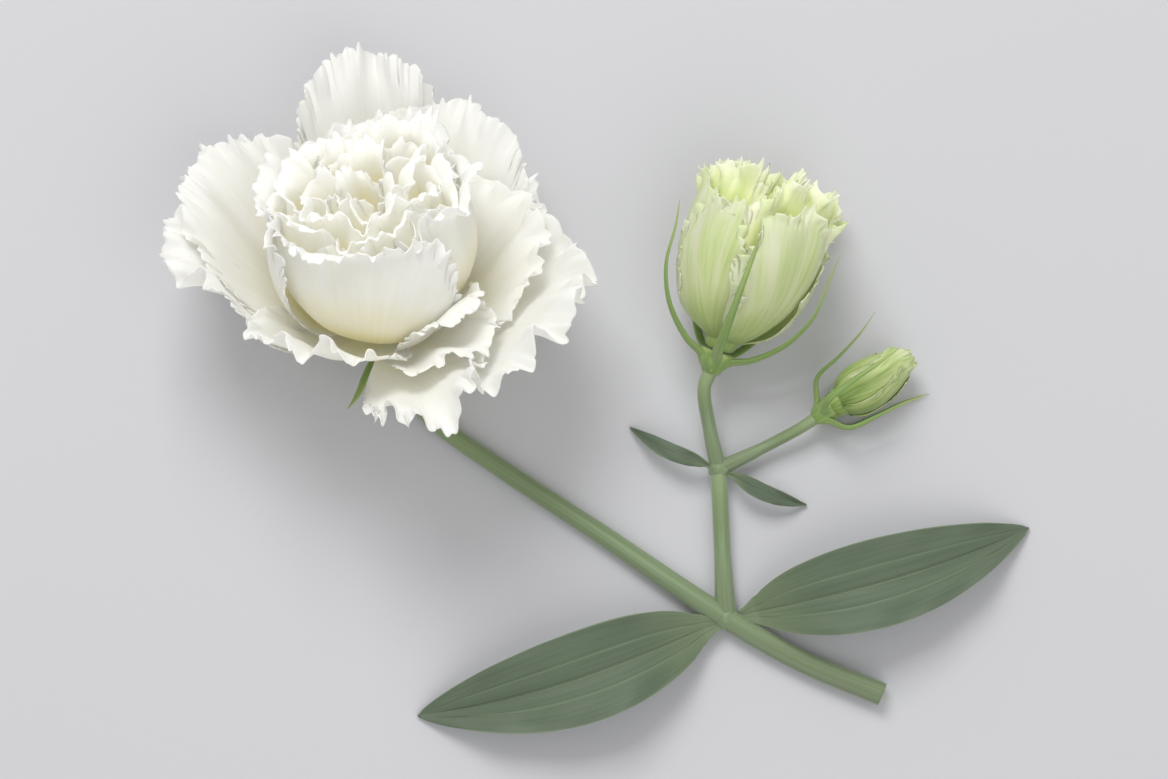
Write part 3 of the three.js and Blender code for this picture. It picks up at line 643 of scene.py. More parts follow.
def turned(outline, flower, segments=72, ribs=0, relief=0.0, steps=10):
    """Points, faces and texture coordinates of a closed form. Its outline starts and ends on the axis."""
    outline = np.asarray(outline, float)
    place = np.linspace(0, len(outline) - 1, (len(outline) - 1) * steps + 1)
    low = np.minimum(place.astype(int), len(outline) - 2)
    part = (place - low)[:, None]
    line = outline[low] * (1 - part) + outline[low + 1] * part
    for _ in range(steps // 2):
        line[1:-1] = (line[:-2] + 2 * line[1:-1] + line[2:]) / 4
    azimuth = np.arange(segments) * 2 * math.pi / segments
    radius = line[1:-1, 0][:, None] * (1 + relief * np.cos(ribs * azimuth)[None, :])
    height = np.repeat(line[1:-1, 1][:, None], segments, 1)
    rings = np.stack([radius * np.cos(azimuth), radius * np.sin(azimuth), height], -1)
    points, faces = capped_rings(rings, (0, 0, line[0, 1]), (0, 0, line[-1, 1]))
    return placed(points, flower), faces, ring_coordinates(np.linspace(0, 1, len(rings)), segments)


print("helpers for turned forms are ready")

# %% [markdown]
# ## The heel of the bloom
# Petals grow together in a short green-cream heel above the calyx. A colour of its own would leave a seam
# where the petals leave it, so it borrows the petals' finish, squeezed to the colours near their roots.

# %% The bloom's heel
def grow_heel(label, outline, flower, finish, slot, node):
    """The green-cream base where petals join, coloured as the petals are near their roots."""
    points, faces, uv = turned(outline, flower, ribs=10, relief=0.02)
    near_roots = uv * (1, 0.12)
    return make_piece(f"{label}_petal_heel", points, faces, near_roots, finish, slot, node)


HEEL_OUTLINE = [(0, -2.3), (3.0, -2.3), (3.9, -1.4), (4.5, -0.1), (3.9, 1.4), (0, 1.8)]
heel = grow_heel("bloom", HEEL_OUTLINE, bloom, white_petal, "petal_white", "bloom_petals")
print("made", heel.name)

# %% [markdown]
# ## Round shoots
# The stem, its branch and the stalks are round shoots, and the sepals are narrow keeled ones. Each is a
# curve through a few points. A bevelled curve object could do it, but a mesh swept by hand can
# change its section on the way and end in a cut face.

# %% Sweep a section along a curve
def curve_through(points, values, count):
    """A smooth curve through points, evenly divided, and the values that belong to its points."""
    points = np.asarray(points, float)
    values = np.asarray(values, float)
    padded = np.vstack([2 * points[0] - points[1], points, 2 * points[-1] - points[-2]])
    knots = np.concatenate([[0], np.cumsum(np.linalg.norm(np.diff(padded, axis=0), axis=1) ** 0.5)])
    fine, sizes = [], []
    for i in range(1, len(padded) - 2):
        p0, p1, p2, p3 = padded[i - 1:i + 3]
        t0, t1, t2, t3 = knots[i - 1:i + 3]
        for t in np.linspace(t1, t2, 24, endpoint=i == len(padded) - 3):
            a1 = (t1 - t) / (t1 - t0) * p0 + (t - t0) / (t1 - t0) * p1
            a2 = (t2 - t) / (t2 - t1) * p1 + (t - t1) / (t2 - t1) * p2
            a3 = (t3 - t) / (t3 - t2) * p2 + (t - t2) / (t3 - t2) * p3
            b1 = (t2 - t) / (t2 - t0) * a1 + (t - t0) / (t2 - t0) * a2
            b2 = (t3 - t) / (t3 - t1) * a2 + (t - t1) / (t3 - t1) * a3
            fine.append((t2 - t) / (t2 - t1) * b1 + (t - t1) / (t2 - t1) * b2)
            part = (t - t1) / (t2 - t1)
            sizes.append(values[i - 1] * (1 - part) + values[i] * part)
    fine, sizes = np.array(fine), np.array(sizes)
    length = np.concatenate([[0], np.cumsum(np.linalg.norm(np.diff(fine, axis=0), axis=1))])
    even = np.linspace(0, length[-1], count)
    line = np.stack([np.interp(even, length, fine[:, k]) for k in range(3)], -1)
    return line, np.interp(even, length, sizes), even


def sides_of(line, up):
    """Two directions square to a line at each of its points, turned as little as possible."""
    tangent = np.gradient(line, axis=0)
    tangent /= np.linalg.norm(tangent, axis=1, keepdims=True)
    first = np.asarray(up, float)
    across, beside = [], []
    for direction in tangent:
        first = unit(first - direction * (first @ direction))
        across.append(first)
        beside.append(np.cross(direction, first))
    return np.array(across), np.array(beside)


def swept(points, radii, up=(0, 0, 1), count=80, around=24, shape=None):
    """Points, faces and texture coordinates of a closed shoot. shape(angle, part) scales its section."""
    line, sizes, even = curve_through(points, radii, count)
    across, beside = sides_of(line, up)
    angle = np.arange(around)[None, :] * 2 * math.pi / around
    part = (even / even[-1])[:, None]
    wide, thick = shape(angle, part) if shape else (np.cos(angle), np.sin(angle))
    wide, thick = (np.broadcast_to(side, (count, around))[..., None] for side in (wide, thick))
    rings = line[:, None] + sizes[:, None, None] * (across[:, None] * wide + beside[:, None] * thick)
    points, faces = capped_rings(rings, line[0], line[-1])
    return points, faces, ring_coordinates(part[:, 0], around)


print("helpers for shoots are ready")

# %% [markdown]
# ## Calyxes
# Each flower sits in a small green cup with five very narrow sepals, a millimetre or two wide and keeled
# along the back. Under the open bloom they spread and curl back, on the half-open bud they arch out round
# it, and on the tight bud they reach nearly as far as its tip. A sepal could be a flat strip, but a swept
# section keeps its keel, and starting it inside the cup hides where the two meet.

# %% Calyx finish and sepals
CALYX_STOPS = [(0.0, (0.26, 0.36, 0.12)), (0.5, (0.22, 0.33, 0.10)), (1.0, (0.38, 0.46, 0.17))]
calyx_green = tissue("calyx_tissue", CALYX_STOPS, vein_colour=(0.62, 0.72, 0.45), veins=9, roughness=0.5,
                     scatter=0.12, bump=0.5)
GAP = 0.3               # mm between the solids of two nodes


def sepal_section(angle, part):
    """Wide across, thin through, with a keel on the back that fades to the tip."""
    keel = 0.5 * np.exp(-((np.mod(angle, 2 * math.pi) - math.pi) / 0.5) ** 2) * (1 - 0.6 * part)
    return np.cos(angle) * (0.42 + keel), np.sin(angle) * (1.12 - 0.1 * part)


def grow_calyx(label, flower, cup, paths, first_azimuth, width, node):
    """A ribbed cup from its outline, and a sepal along each path of (radius, height) points."""
    turn, _ = flower
    made = [make_piece(f"{label}_calyx_cup", *turned(cup, flower, ribs=5, relief=0.06), calyx_green,
                       "calyx_green", node)]
    foot = (0.75 * cup[1][0], cup[1][1] + 0.4)      # inside the cup
    for k, path in enumerate(paths):
        azimuth = math.radians(first_azimuth + 360 * k / len(paths))
        path = np.array([foot] + path, float)
        radii = width * np.concatenate([[0.9], 1.3 - 1.0 * np.linspace(0, 1, len(path) - 1) ** 0.8])
        local = np.stack([path[:, 0] * math.cos(azimuth), path[:, 0] * math.sin(azimuth), path[:, 1]], -1)
        points = placed(local, flower)
        points = np.array([settle(p, r + GAP / 2) for p, r in zip(points, radii)])
        radii[-1] *= 0.35
        back = turn @ np.array([-math.cos(azimuth) * 0.3, -math.sin(azimuth) * 0.3, 1.0])
        mesh = swept(points, radii, up=back, count=60, around=16, shape=sepal_section)
        made.append(make_piece(f"{label}_sepal_{k + 1}", *mesh, calyx_green, "calyx_green", node))
    return made


NECK_LENGTH = 8         # mm from the bloom's seat down to the foot of its calyx
bloom_calyx = grow_calyx(
    "bloom", bloom,
    [(0, -NECK_LENGTH), (1.9, -NECK_LENGTH), (3.6, -5.5), (4.4, -2.6), (0, -2.6)],
    [[(3.2, -4.2), (7, -3.6), (12, -5), (17, -8.5), (21, -9.5)],
     [(3.2, -4.2), (7, -3.4), (12, -4), (17, -6), (22, -6)],
     [(3.2, -4.2), (6.5, -3.6), (10, -4.4), (13.5, -6), (17, -6.5)],
     [(3.2, -4.2), (6.5, -3.6), (9.5, -4.4), (12.5, -6), (14.5, -7)],
     [(3.2, -4.2), (7, -3.4), (12, -4), (17, -6.5), (21, -7)]],
    270, 1.15, "bloom_calyx")
print("made", len(bloom_calyx), "pieces of the bloom's calyx")

# %% [markdown]
# ## The pistil
# In the well of the bloom stands the pistil: a pale green ovary that narrows to a style and carries a
# yellow stigma of two lobes. The ovary and style are turned from one outline. A lobe could be a plain
# sphere, but the stigma's surface is grainy, so small bumps are pushed into the rings of its mesh.

# %% Ovary and stigma
FOOT = 5 + GAP          # mm from the bloom's seat up to the foot of the ovary
OVARY_STOPS = [(0.0, (0.40, 0.50, 0.18)), (0.7, (0.52, 0.60, 0.26)), (1.0, (0.62, 0.64, 0.30))]
STIGMA_STOPS = [(0.0, (0.62, 0.47, 0.08)), (1.0, (0.80, 0.62, 0.12))]
ovary_green = tissue("ovary_tissue", OVARY_STOPS, vein_colour=(0.8, 0.88, 0.7), veins=10, roughness=0.45,
                     scatter=0.15, bump=0.4)
stigma_yellow = tissue("stigma_tissue", STIGMA_STOPS, vein_colour=(0.8, 0.7, 0.5), veins=14, roughness=0.7,
                       scatter=0.2, bump=0.9)
ovary_outline = [(0, FOOT), (1.5, FOOT), (2.2, FOOT + 3), (2.1, FOOT + 7), (1.0, FOOT + 10), (0.8, FOOT + 14),
                 (0.9, FOOT + 16), (0, FOOT + 16)]
ovary_mesh = turned(ovary_outline, bloom, segments=40, ribs=2, relief=0.05)
ovary = make_piece("pistil_ovary", *ovary_mesh, ovary_green, "pistil_yellow", "pistil")
LOBE_RADIUS, LOBE_TOP = 1.35, 1.01      # mm, its size across and the height of its poles
LOBE_SHIFT = 0.75                       # mm from the axis


def lobe(side):
    """A grainy rounded lobe on one side of the style's tip."""
    around, up = 28, 16
    azimuth = np.arange(around) * 2 * math.pi / around
    polar = np.linspace(0, math.pi, up + 1)[1:-1][:, None]
    grain = 1 + 0.05 * np.sin(9 * azimuth + 5 * polar) * np.sin(7 * polar)
    rings = LOBE_RADIUS * grain[..., None] * np.stack(np.broadcast_arrays(
        0.85 * np.sin(polar) * np.cos(azimuth), np.sin(polar) * np.sin(azimuth), -0.75 * np.cos(polar)), -1)
    points, faces = capped_rings(rings, (0, 0, -LOBE_TOP), (0, 0, LOBE_TOP))
    points = points + np.array([side * LOBE_SHIFT, 0, FOOT + 16.4])
    return placed(points, bloom), faces, points[:, :2] * 0.2 + 0.5


lobes = [make_piece(f"stigma_lobe_{k + 1}", *lobe(side), stigma_yellow, "pistil_yellow", "pistil")
         for k, side in enumerate((-1, 1))]
print("made", ovary.name, "and", len(lobes), "lobes")

# %% [markdown]
# ## The half-open bud
# This bud is a barrel of five overlapping cream-green petals, greener below, with the yellow-green fringe of
# seven inner ones crowding its mouth. It grows by the same rules as the bloom, from profiles that close
# instead of opening. The outer five are of different lengths, so that the mouth is not a level rim.

# %% Bud petals
CREAM_STOPS = [
    (0.0, (0.34, 0.47, 0.14)), (0.22, (0.55, 0.64, 0.27)), (0.5, (0.72, 0.76, 0.47)),
    (0.85, (0.80, 0.82, 0.60)), (1.0, (0.88, 0.90, 0.70)),
]
MOUTH_STOPS = [
    (0.0, (0.34, 0.47, 0.12)), (0.45, (0.62, 0.72, 0.22)), (0.72, (0.80, 0.84, 0.42)),
    (0.88, (0.89, 0.90, 0.62)), (1.0, (0.94, 0.94, 0.78)),
]
bud_veins = dict(vein_colour=(0.78, 0.90, 0.56), veins=26, roughness=0.52, scatter=0.4, bump=0.35,
                 through=0.3)
# Each glow is painted light: an emission standing in for light bounced between petals, stronger in the
# crowded mouth.
cream_petal = tissue("cream_bud_tissue", CREAM_STOPS, glow=0.04, **bud_veins)
mouth_petal = tissue("bud_mouth_tissue", MOUTH_STOPS, glow=0.1, **bud_veins)
HALF_BUD = {
    "outer": whorl(2.4, 0.5, -1.6, 0.4, lip=55, stations=[
        (0, 34.5, 0.92, (62, 31, -6, -14)), (74, 31.5, 0.95, (62, 30, -8, -12)),
        (143, 34, 0.92, (62, 30, -8, -12)), (217, 30.5, 0.95, (62, 31, -9, -11)),
        (288, 32.5, 0.95, (62, 30, -8, -12))]),
    "inner": whorl(2.0, 1.0, -1.3, 0.5, lip=40, fold=1.5, folds=(5, 8), sway=(2, 3),
                   profile=(44, 24, -10, 0), even=(4, 40, 36, 0.7)),
    "heart": whorl(1.6, 1.4, -0.8, 0.4, lip=40, fold=1.7, folds=(4, 7), sway=(2, 3),
                   profile=(18, 12, -4, 4), even=(3, 10, 34, 0.4)),
}
HALF_BUD_SEAT = (14, 41, 10)
HALF_BUD_AXIS = unit((-0.25, 0.94, 0.2))
half_bud = flower_frame(HALF_BUD_SEAT, HALF_BUD_AXIS)
bud_finishes = {"outer": cream_petal, "inner": mouth_petal, "heart": mouth_petal}
bud_styles = {
    "outer": margin_style(pitch=2.2, depth=2.1, point=1.3, broad=0.6, fine=0.8, bend=0.7, start=0.82),
    "inner": margin_style(pitch=1.9, depth=2.4, point=1.2, broad=1.2, fine=1.1, bend=0.9, start=0.66),
    "heart": margin_style(pitch=1.8, depth=2.2, point=1.2, broad=1.1, fine=1.1, bend=0.9, start=0.66),
}
HALF_BUD_WELL = 1.5     # mm
HALF_BUD_SEED = 20      # where its petals' draws start
half_bud_petals = grow_petals("half_bud", HALF_BUD, half_bud, HALF_BUD_WELL, HALF_BUD_SEED, bud_finishes,
                              "bud_cream_green", "half_bud_petals", 40, bud_styles)
bud_heel = grow_heel("half_bud", [(0, -1.3), (2.4, -1.3), (3.1, -0.2), (3.3, 1.2), (0, 2)], half_bud,
                     cream_petal, "bud_cream_green", "half_bud_petals")
print("made", len(half_bud_petals), "bud petals and", bud_heel.name)

# %% [markdown]
# ## Sepals round the barrel
# The five sepals of the half-open bud stand off from it and arch round it. They differ only in how far they
# flare, so one function draws all their paths.

# %% The half-open bud's calyx
def arched(flare):
    """The path of a sepal round the barrel. More flare ends it further out and higher."""
    return [(2.4, -3), (6.6, -0.9), (12.0, 4.2), (15.2, 10.8), (15.6 + 0.8 * flare, 18), (16 + 2 * flare, 23)]


half_bud_calyx = grow_calyx(
    "half_bud", half_bud, [(0, -6), (1.4, -6), (3.0, -4), (3.6, -1.6), (0, -1.6)],
    [arched(flare) for flare in (1, 2, 0.5, 1.5, 0)], 235, 0.9, "half_bud_calyx")
print("made", len(half_bud_calyx), "pieces of the half-open bud's calyx")

# %% [markdown]
# ## The tight bud
# The youngest bud is an ovoid of five petals wound round each other, each with one toothed margin showing as
# it spirals up to the tip. Spiral ridges on one ovoid would be simpler, but they look carved. Here a twist
# winds the same kind of petals, and a core inside closes the gaps at the tip, as inner petals do on a real
# bud.

# %% The wound bud
BUD_STOPS = [
    (0.0, (0.26, 0.38, 0.10)), (0.35, (0.45, 0.56, 0.20)), (0.75, (0.60, 0.68, 0.31)),
    (1.0, (0.76, 0.82, 0.48)),
]
bud_green = tissue("tight_bud_tissue", BUD_STOPS, vein_colour=(0.45, 0.64, 0.26), veins=16, roughness=0.5,
                   scatter=0.3, bump=0.3, through=0.2)
SMALL_BUD_SEAT = (38, 44, 5.0)
SMALL_BUD_AXIS = unit((0.38, 0.92, 0.1))
small_bud = flower_frame(SMALL_BUD_SEAT, SMALL_BUD_AXIS)
TIGHT_BUD = {"wound": whorl(1.0, 0.3, -0.55, 0.0, twist=50, sway=(2, 3), profile=(66, -16, -14, -32),
                            even=(5, 20, 19.2, 0.62))}
TIGHT_BUD_WELL = 0.3    # mm
TIGHT_BUD_SEED = 30
tight_style = margin_style(pitch=1.5, depth=0.9, point=1.3, broad=0.1, fine=0.2, bend=0.25, start=0.7)
tight_bud_petals = grow_petals("tight_bud", TIGHT_BUD, small_bud, TIGHT_BUD_WELL, TIGHT_BUD_SEED,
                               {"outer": bud_green}, "bud_green", "small_bud_petals", 40,
                               {"outer": tight_style})
core_outline = [(0, -1), (1.8, -0.9), (2.6, 0.8), (3.8, 4.5), (4.0, 8), (3.1, 12.5), (1.4, 16.4), (0, 17)]
core_mesh = turned(core_outline, small_bud, segments=64, ribs=5, relief=0.04)
tight_bud_core = make_piece("tight_bud_core", *core_mesh, bud_green, "bud_green", "small_bud_petals")
print("made", len(tight_bud_petals), "wound petals round", tight_bud_core.name)

# %% [markdown]
# ## Sepals beside the tight bud
# These rise close beside the bud and spread a little at their tips. They are the thinnest ones, because the
# bud is the youngest of the three.

# %% The tight bud's calyx
def reaching(flare):
    """The path of a sepal up the side of the bud. More flare ends it further out."""
    return [(2.0, -2.4), (6.0, 0.2), (7.2, 5.5), (7 + flare, 11), (7.4 + 2 * flare, 16)]


small_bud_calyx = grow_calyx(
    "small_bud", small_bud, [(0, -4.5), (1.3, -4.5), (2.2, -3), (2.4, -0.5), (0, -0.5)],
    [reaching(flare) for flare in (1, 0.3, 1.6, 0.6, 1)], 220, 0.7, "small_bud_calyx")
print("made", len(small_bud_calyx), "pieces of the tight bud's calyx")

# %% [markdown]
# ## The stem
# A lisianthus stem is smooth and slightly waxy. The main shoot, the branch and the two stalks are swept
# one by one from the same points as the solid, with a few shallow grooves along them.

# %% Stem and stalks
STEM_STOPS = [(0.0, (0.18, 0.23, 0.13)), (0.5, (0.20, 0.265, 0.145)), (1.0, (0.25, 0.32, 0.165))]
stem_green = tissue("stem_tissue", STEM_STOPS, vein_colour=(0.72, 0.78, 0.62), veins=12, roughness=0.45,
                    scatter=0.1, bump=0.45, sheen=0.25)
CUT_END, LEAF_NODE, FORK = (76, 5, 2.3), (44, 0, 2.4), (27, 22, 3.2)


def on_axis(seat, axis, distance):
    return np.asarray(seat, float) + np.asarray(axis) * distance


def grooved(angle, part):
    """A round section with four low ridges and some finer ones."""
    ridge = 1 + 0.035 * np.cos(4 * angle) + 0.012 * np.cos(9 * angle + 3 * part)
    return np.cos(angle) * ridge, np.sin(angle) * ridge


# Each shoot: the points it runs through, its radius at each of them, and its number of rings.
shoots = {
    "stem_main": ([CUT_END, (60, 1.5, 2.2), LEAF_NODE, (16, -0.5, 2.0), (-8, -1.2, 1.9), (-22, -1.0, 2.2),
                   on_axis(BLOOM_SEAT, BLOOM_AXIS, -NECK_LENGTH - 5),
                   on_axis(BLOOM_SEAT, BLOOM_AXIS, -NECK_LENGTH + GAP)],
                  [2.1, 2.0, 2.0, 1.8, 1.7, 1.6, 1.6, 1.8], 260),
    "stem_branch": ([LEAF_NODE, (37, 9, 2.8), FORK], [2.0, 1.5, 1.5], 90),
    "half_bud_stalk": ([FORK, (21.5, 27, 4.8), on_axis(HALF_BUD_SEAT, HALF_BUD_AXIS, -9),
                        on_axis(HALF_BUD_SEAT, HALF_BUD_AXIS, -6 + GAP)], [1.5, 1.25, 1.25, 1.35], 80),
    "small_bud_stalk": ([FORK, (31.5, 30, 3.2), on_axis(SMALL_BUD_SEAT, SMALL_BUD_AXIS, -8),
                         on_axis(SMALL_BUD_SEAT, SMALL_BUD_AXIS, -4.5 + GAP)], [1.5, 1.06, 1.06, 1.12], 80),
}
stems = []
for name, (points, radii, count) in shoots.items():
    shoot = swept(points, radii, count=count, around=40, shape=grooved)
    stems.append(make_piece(name, *shoot, stem_green, "stem_green", "stem"))
print("made", [piece.name for piece in stems])

# %% [markdown]
# ## The cut
# A knife leaves a flat face with pale pith inside a darker ring. The rings could be a texture projected on
# the end of the stem, but a thin turned disc has coordinates that run from its middle to its edge, and the
# stops of its finish draw the rings.

# %% The cut face
PITH_STOPS = [
    (0.0, (0.62, 0.68, 0.42)), (0.25, (0.58, 0.65, 0.38)), (0.42, (0.36, 0.46, 0.2)),
    (1.0, (0.24, 0.32, 0.14)),
]
pith_green = tissue("pith_tissue", PITH_STOPS, vein_colour=(0.8, 0.86, 0.66), veins=24, roughness=0.6,
                    scatter=0.2, bump=0.4)


def cut_face(centre, direction, radius):
    """A thin disc on the cut: pale pith inside a darker ring."""
    outline = [(0, 0.06), (0.55 * radius, 0.06), (0.93 * radius, 0.03), (0.97 * radius, -0.1), (0, -0.1)]
    disc = turned(outline, flower_frame(centre, direction), segments=48)
    return make_piece("stem_cut_face", *disc, pith_green, "stem_green", "stem")


cut_points, cut_radii, _ = shoots["stem_main"]
stems.append(cut_face(CUT_END, np.subtract(cut_points[0], cut_points[1]), cut_radii[0]))
print("made", stems[-1].name)

# %% [markdown]
# ## Knots
# The stem swells where leaves or a branch leave it. The shoots could be joined by a boolean, but a blunt
# swelling laid over each joint hides it, as it does on a real stem.

# %% The knots where shoots leave
def knot(name, centre, radius):
    """A blunt swelling on the stem."""
    waist, shoulder = 0.7 * radius, 0.75 * radius
    outline = [(0, -radius), (waist, -shoulder), (radius, 0), (waist, shoulder), (0, radius)]
    swelling = turned(outline, flower_frame(centre, (1, 0.2, 0)), segments=40, ribs=4, relief=0.04)
    return make_piece(name, *swelling, stem_green, "stem_green", "stem")


knots = [knot("leaf_knot", LEAF_NODE, 2.35), knot("fork_knot", FORK, 2.0)]
print("made", [piece.name for piece in knots])

# %% [markdown]
# ## Leaves
# The leaves are broad, pointed and smooth-edged, and grey-green with a waxy bloom. A midrib and a vein on
# either side of it run from the base and arch to the tip. A ramp over the distance from the midrib draws
# them in a paler green.

# %% Leaf finish
LEAF_STOPS = [(0.0, (0.14, 0.185, 0.10)), (0.25, (0.088, 0.125, 0.076)), (1.0, (0.098, 0.135, 0.084))]
# How much paler the leaf is at each distance from its midrib, from 0 to 0.5 at its edge.
VEIN_LEVELS = [(0.0, 1.0), (0.012, 0.7), (0.028, 0.0), (0.18, 0.0), (0.2, 0.25), (0.22, 0.0), (0.485, 0.0),
               (0.5, 0.5)]


def waxy_leaf(name):
    """The tissue finish with paler veins laid over it."""
    material = tissue(name, LEAF_STOPS, vein_colour=(0.80, 0.86, 0.80), veins=20, roughness=0.55,
                      scatter=0.06, bump=0.3, sheen=0.35)
    nodes, links = material.node_tree.nodes, material.node_tree.links
    centred = nodes.new("ShaderNodeMath")
    centred.operation = "SUBTRACT"
    centred.inputs[1].default_value = 0.5
    links.new(nodes["Separate XYZ"].outputs["X"], centred.inputs[0])
    away = nodes.new("ShaderNodeMath")
    away.operation = "ABSOLUTE"
    links.new(centred.outputs[0], away.inputs[0])
    lines = colour_ramp(nodes, [(place, (level, level, level)) for place, level in VEIN_LEVELS])
    links.new(away.outputs[0], lines.inputs[0])
    paler = nodes.new("ShaderNodeMix")
    paler.data_type = "RGBA"
    paler.inputs["B"].default_value = (0.27, 0.33, 0.21, 1)
    links.new(lines.outputs[0], paler.inputs["Factor"])
    links.new(nodes["Mix"].outputs["Result"], paler.inputs["A"])
    links.new(paler.outputs["Result"], nodes["Principled BSDF"].inputs["Base Color"])
    return material


leaf_green = waxy_leaf("waxy_leaf_tissue")
print("made", leaf_green.name)

# %% [markdown]
# ## How a leaf lies
# A leaf clasps the stem, arches over the table and comes down on its tip, with its halves raised a little
# beside the midrib. A flat outline could be bent by a modifier, but a formula for the height gives each leaf
# its own arch, waves and vein grooves. The small bracts at the fork are grown by the same function.

# %% The shape of a leaf
BASE_HALF = 0.24            # of the half width: how wide the leaf still is where it clasps the stem
VEIN_GROOVES = ((0.0, 0.5), (0.4, 0.15))    # each vein's place across the half width, and its depth in mm
VEIN_WIDTH = 0.035          # of the half width
BROAD_LEAF = 26             # mm, the leaf width that the depths and waves are given for
SOFT_START = 0.04           # of the length, over which a leaf leaves the stem level


def leaf_half_width(v):
    """The half width at each place along the leaf, as a part of the widest one."""
    body = 1.66 * (v + 0.02) ** 0.62 * (1.005 - v) ** 0.84
    return np.maximum(BASE_HALF * (1 - smooth(0, 0.3, v)) + 0.01, np.minimum(body, 1))


def leaf_grid(start, heading, length, width, rise, crease, sway, half, clasp, seed, columns=64, rows=120):
    """The middle points of a leaf that leaves its stem at start, arches over rise mm and comes down again.
    clasp is how far its base reaches back into the stem."""
    heading = math.radians(heading)
    forward = np.array([math.cos(heading), math.sin(heading), 0])
    side = np.array([-forward[1], forward[0], 0])
    u = np.linspace(-1, 1, columns + 1)[None, :]
    way = np.linspace(-clasp / length, 1, rows + 1)[:, None]
    v = np.maximum(way, 0)
    wide = leaf_half_width(v) * width / 2 * (1 - 0.6 * smooth(0.98, 1.0, v))
    wide = wide * (0.35 + 0.65 * smooth(-clasp / length, 0.04, way))

    lifted = (np.hypot(v, SOFT_START) - SOFT_START) / (math.hypot(1, SOFT_START) - SOFT_START)
    height = rise * np.sin(math.pi * lifted**0.8) * (1 - 0.25 * v) - start[2] * v
    height = height + crease * np.abs(u) * np.sin(math.pi * v) + 0.5 * u * np.sin(7 * v + 2 * u)
    fading = 1 - smooth(0.88, 1, v)
    for place, depth in VEIN_GROOVES:
        groove = np.exp(-((np.abs(u) - place) / VEIN_WIDTH) ** 2)
        height = height - depth * width / BROAD_LEAF * fading * groove
    wavy = np.sin(13 * v + 2.5 * u + seed) + 0.6 * np.sin(29 * v - 4 * u + 2 * seed)
    wavy = wavy * smooth(0.35, 1, np.abs(u)) * fading * smooth(0, 0.15, v)
    height = height + 0.45 * width / BROAD_LEAF * wavy

    points = np.asarray(start, float) + forward * (length * way)[..., None]
    points = points + side * (wide * u + sway * np.sin(math.pi * v))[..., None]
    points[..., 2] += height
    return settle(points, half), (u + 1) / 2, v


print("a leaf keeps", BASE_HALF, "of its width at the stem")

# %% Grow the leaves
LEAVES = {
    "leaf_right": dict(start=(47.7, 3.9, 2.7), heading=52, length=54, width=26, rise=9, crease=2.2,
                       sway=-2, half=0.4, clasp=3),
    "leaf_left": dict(start=(41.8, -3.8, 2.6), heading=232, length=56, width=27, rise=8, crease=2.4,
                      sway=2.5, half=0.4, clasp=3),
    "bract_left": dict(start=(24.7, 21.4, 3.4), heading=188, length=16, width=5, rise=3.4, crease=0.5,
                       sway=1, half=0.3, clasp=1.2),
    "bract_right": dict(start=(29.7, 22.5, 3.4), heading=14, length=15, width=5, rise=3.0, crease=0.5,
                        sway=-1, half=0.3, clasp=1.6),
}
LEAF_HALF = 0.22            # mm, half a leaf's thickness at its midrib
LEAF_THINNED = 0.08         # mm, how much of that is gone at its edge
leaves = []
for seed, (name, shape) in enumerate(LEAVES.items()):
    grid, across, along = leaf_grid(**shape, seed=seed)
    thin = LEAF_HALF - LEAF_THINNED * np.abs(2 * across - 1) ** 3
    blade = blade_mesh(grid, thin, across, along)
    leaves.append(make_piece(name + "_blade", *blade, leaf_green, "leaf_green", name))
print("made", [piece.name for piece in leaves])

# %% [markdown]
# ## The table
# A cut stem lies down, so it is shown on a pale matte table. One large plane is enough, a little darker than
# the petals, so that a white flower stands out from it.

# %% Table
def matte(name, colour, roughness):
    """An even finish with a trace of grain."""
    material = bpy.data.materials.new(name)
    material.use_nodes = True
    nodes, links = material.node_tree.nodes, material.node_tree.links
    surface = nodes["Principled BSDF"]
    grain = nodes.new("ShaderNodeTexNoise")
    grain.inputs["Scale"].default_value = 40.0
    tone = nodes.new("ShaderNodeValToRGB")
    tone.color_ramp.elements[0].color = (*[c * 0.97 for c in colour], 1)
    tone.color_ramp.elements[1].color = (*colour, 1)
    links.new(grain.outputs["Fac"], tone.inputs[0])
    links.new(tone.outputs[0], surface.inputs["Base Color"])
    surface.inputs["Roughness"].default_value = roughness
    return material


REACH_OF_TABLE = 2      # m from its middle to each side
corners = [(x * REACH_OF_TABLE, y * REACH_OF_TABLE, 0) for x, y in ((-1, -1), (1, -1), (1, 1), (-1, 1))]
table_mesh = bpy.data.meshes.new("table")
table_mesh.from_pydata(corners, [], [(0, 1, 2, 3)])
table_mesh.materials.append(matte("table_grey", (0.53, 0.53, 0.55), 0.8))
table = bpy.data.objects.new("table", table_mesh)
bpy.context.scene.collection.objects.link(table)
print("the table is at height 0")

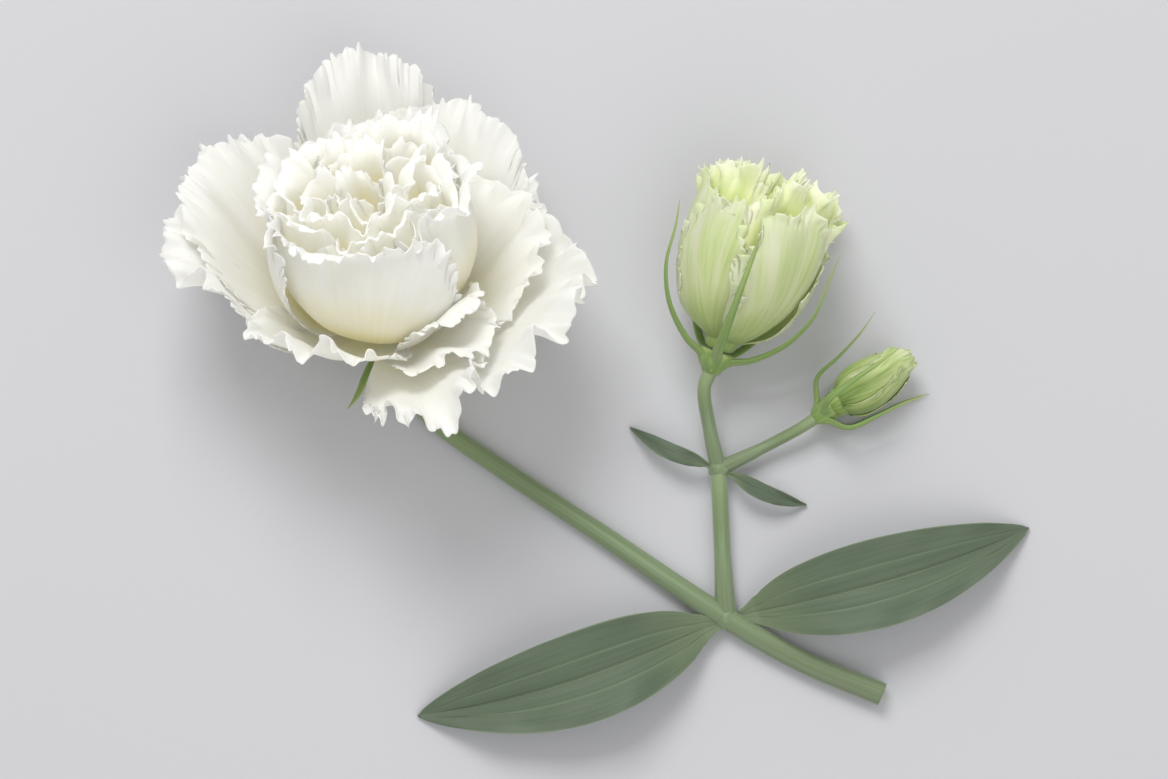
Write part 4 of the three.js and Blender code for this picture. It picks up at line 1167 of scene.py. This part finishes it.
# %% [markdown]
# ## Two soft lights
# A broad light from the upper left models the petals, and a weaker, broader one from the right fills their
# shadows, as in a bright studio. One hard lamp would show every fold, but white petals would burn out on one
# side and turn grey on the other.

# %% Lights
def soft_light(name, place, size, power, aim=(0, 0, 0.02)):
    """A square area light: the larger it is, the softer the shadows."""
    lamp = bpy.data.lights.new(name, "AREA")
    lamp.size = size
    lamp.energy = power
    holder = bpy.data.objects.new(name, lamp)
    holder.location = place
    holder.rotation_euler = (Vector(aim) - Vector(place)).to_track_quat("-Z", "Y").to_euler()
    bpy.context.scene.collection.objects.link(holder)
    return holder


key = soft_light("key_light", (-0.52, 0.42, 0.85), 0.5, 7.5)
fill = soft_light("fill_light", (0.60, -0.25, 0.80), 0.9, 2.6)
world = bpy.data.worlds.new("room")
world.use_nodes = True
world.node_tree.nodes["Background"].inputs["Color"].default_value = (1.0, 1.0, 1.0, 1)
world.node_tree.nodes["Background"].inputs["Strength"].default_value = 0.62
bpy.context.scene.world = world
bpy.context.scene.view_settings.view_transform = "Standard"
print("lights:", key.name, fill.name)

# %% [markdown]
# ## The camera
# The camera looks down on the stem, so that the bloom is seen from its best side. It stands well back with a
# long lens, which keeps near and far petals in proportion.

# %% Camera
CAMERA_AZIMUTH, CAMERA_ELEVATION = math.radians(35), math.radians(84)
CAMERA_DISTANCE = 0.78      # m
FRAME_WIDTH = 0.215         # m across the picture, at that distance
aim = Vector((0.0, 0.005, 0.018))
back = Vector((math.sin(CAMERA_AZIMUTH) * math.cos(CAMERA_ELEVATION),
               -math.cos(CAMERA_AZIMUTH) * math.cos(CAMERA_ELEVATION), math.sin(CAMERA_ELEVATION)))
lens = bpy.data.cameras.new("camera")
lens.sensor_width = 36
lens.lens = lens.sensor_width * CAMERA_DISTANCE / FRAME_WIDTH
camera = bpy.data.objects.new("camera", lens)
camera.location = aim + back * CAMERA_DISTANCE
camera.rotation_euler = (-back).to_track_quat("-Z", "Y").to_euler()
bpy.context.scene.collection.objects.link(camera)
bpy.context.scene.camera = camera
print("camera at", [round(c, 3) for c in camera.location])
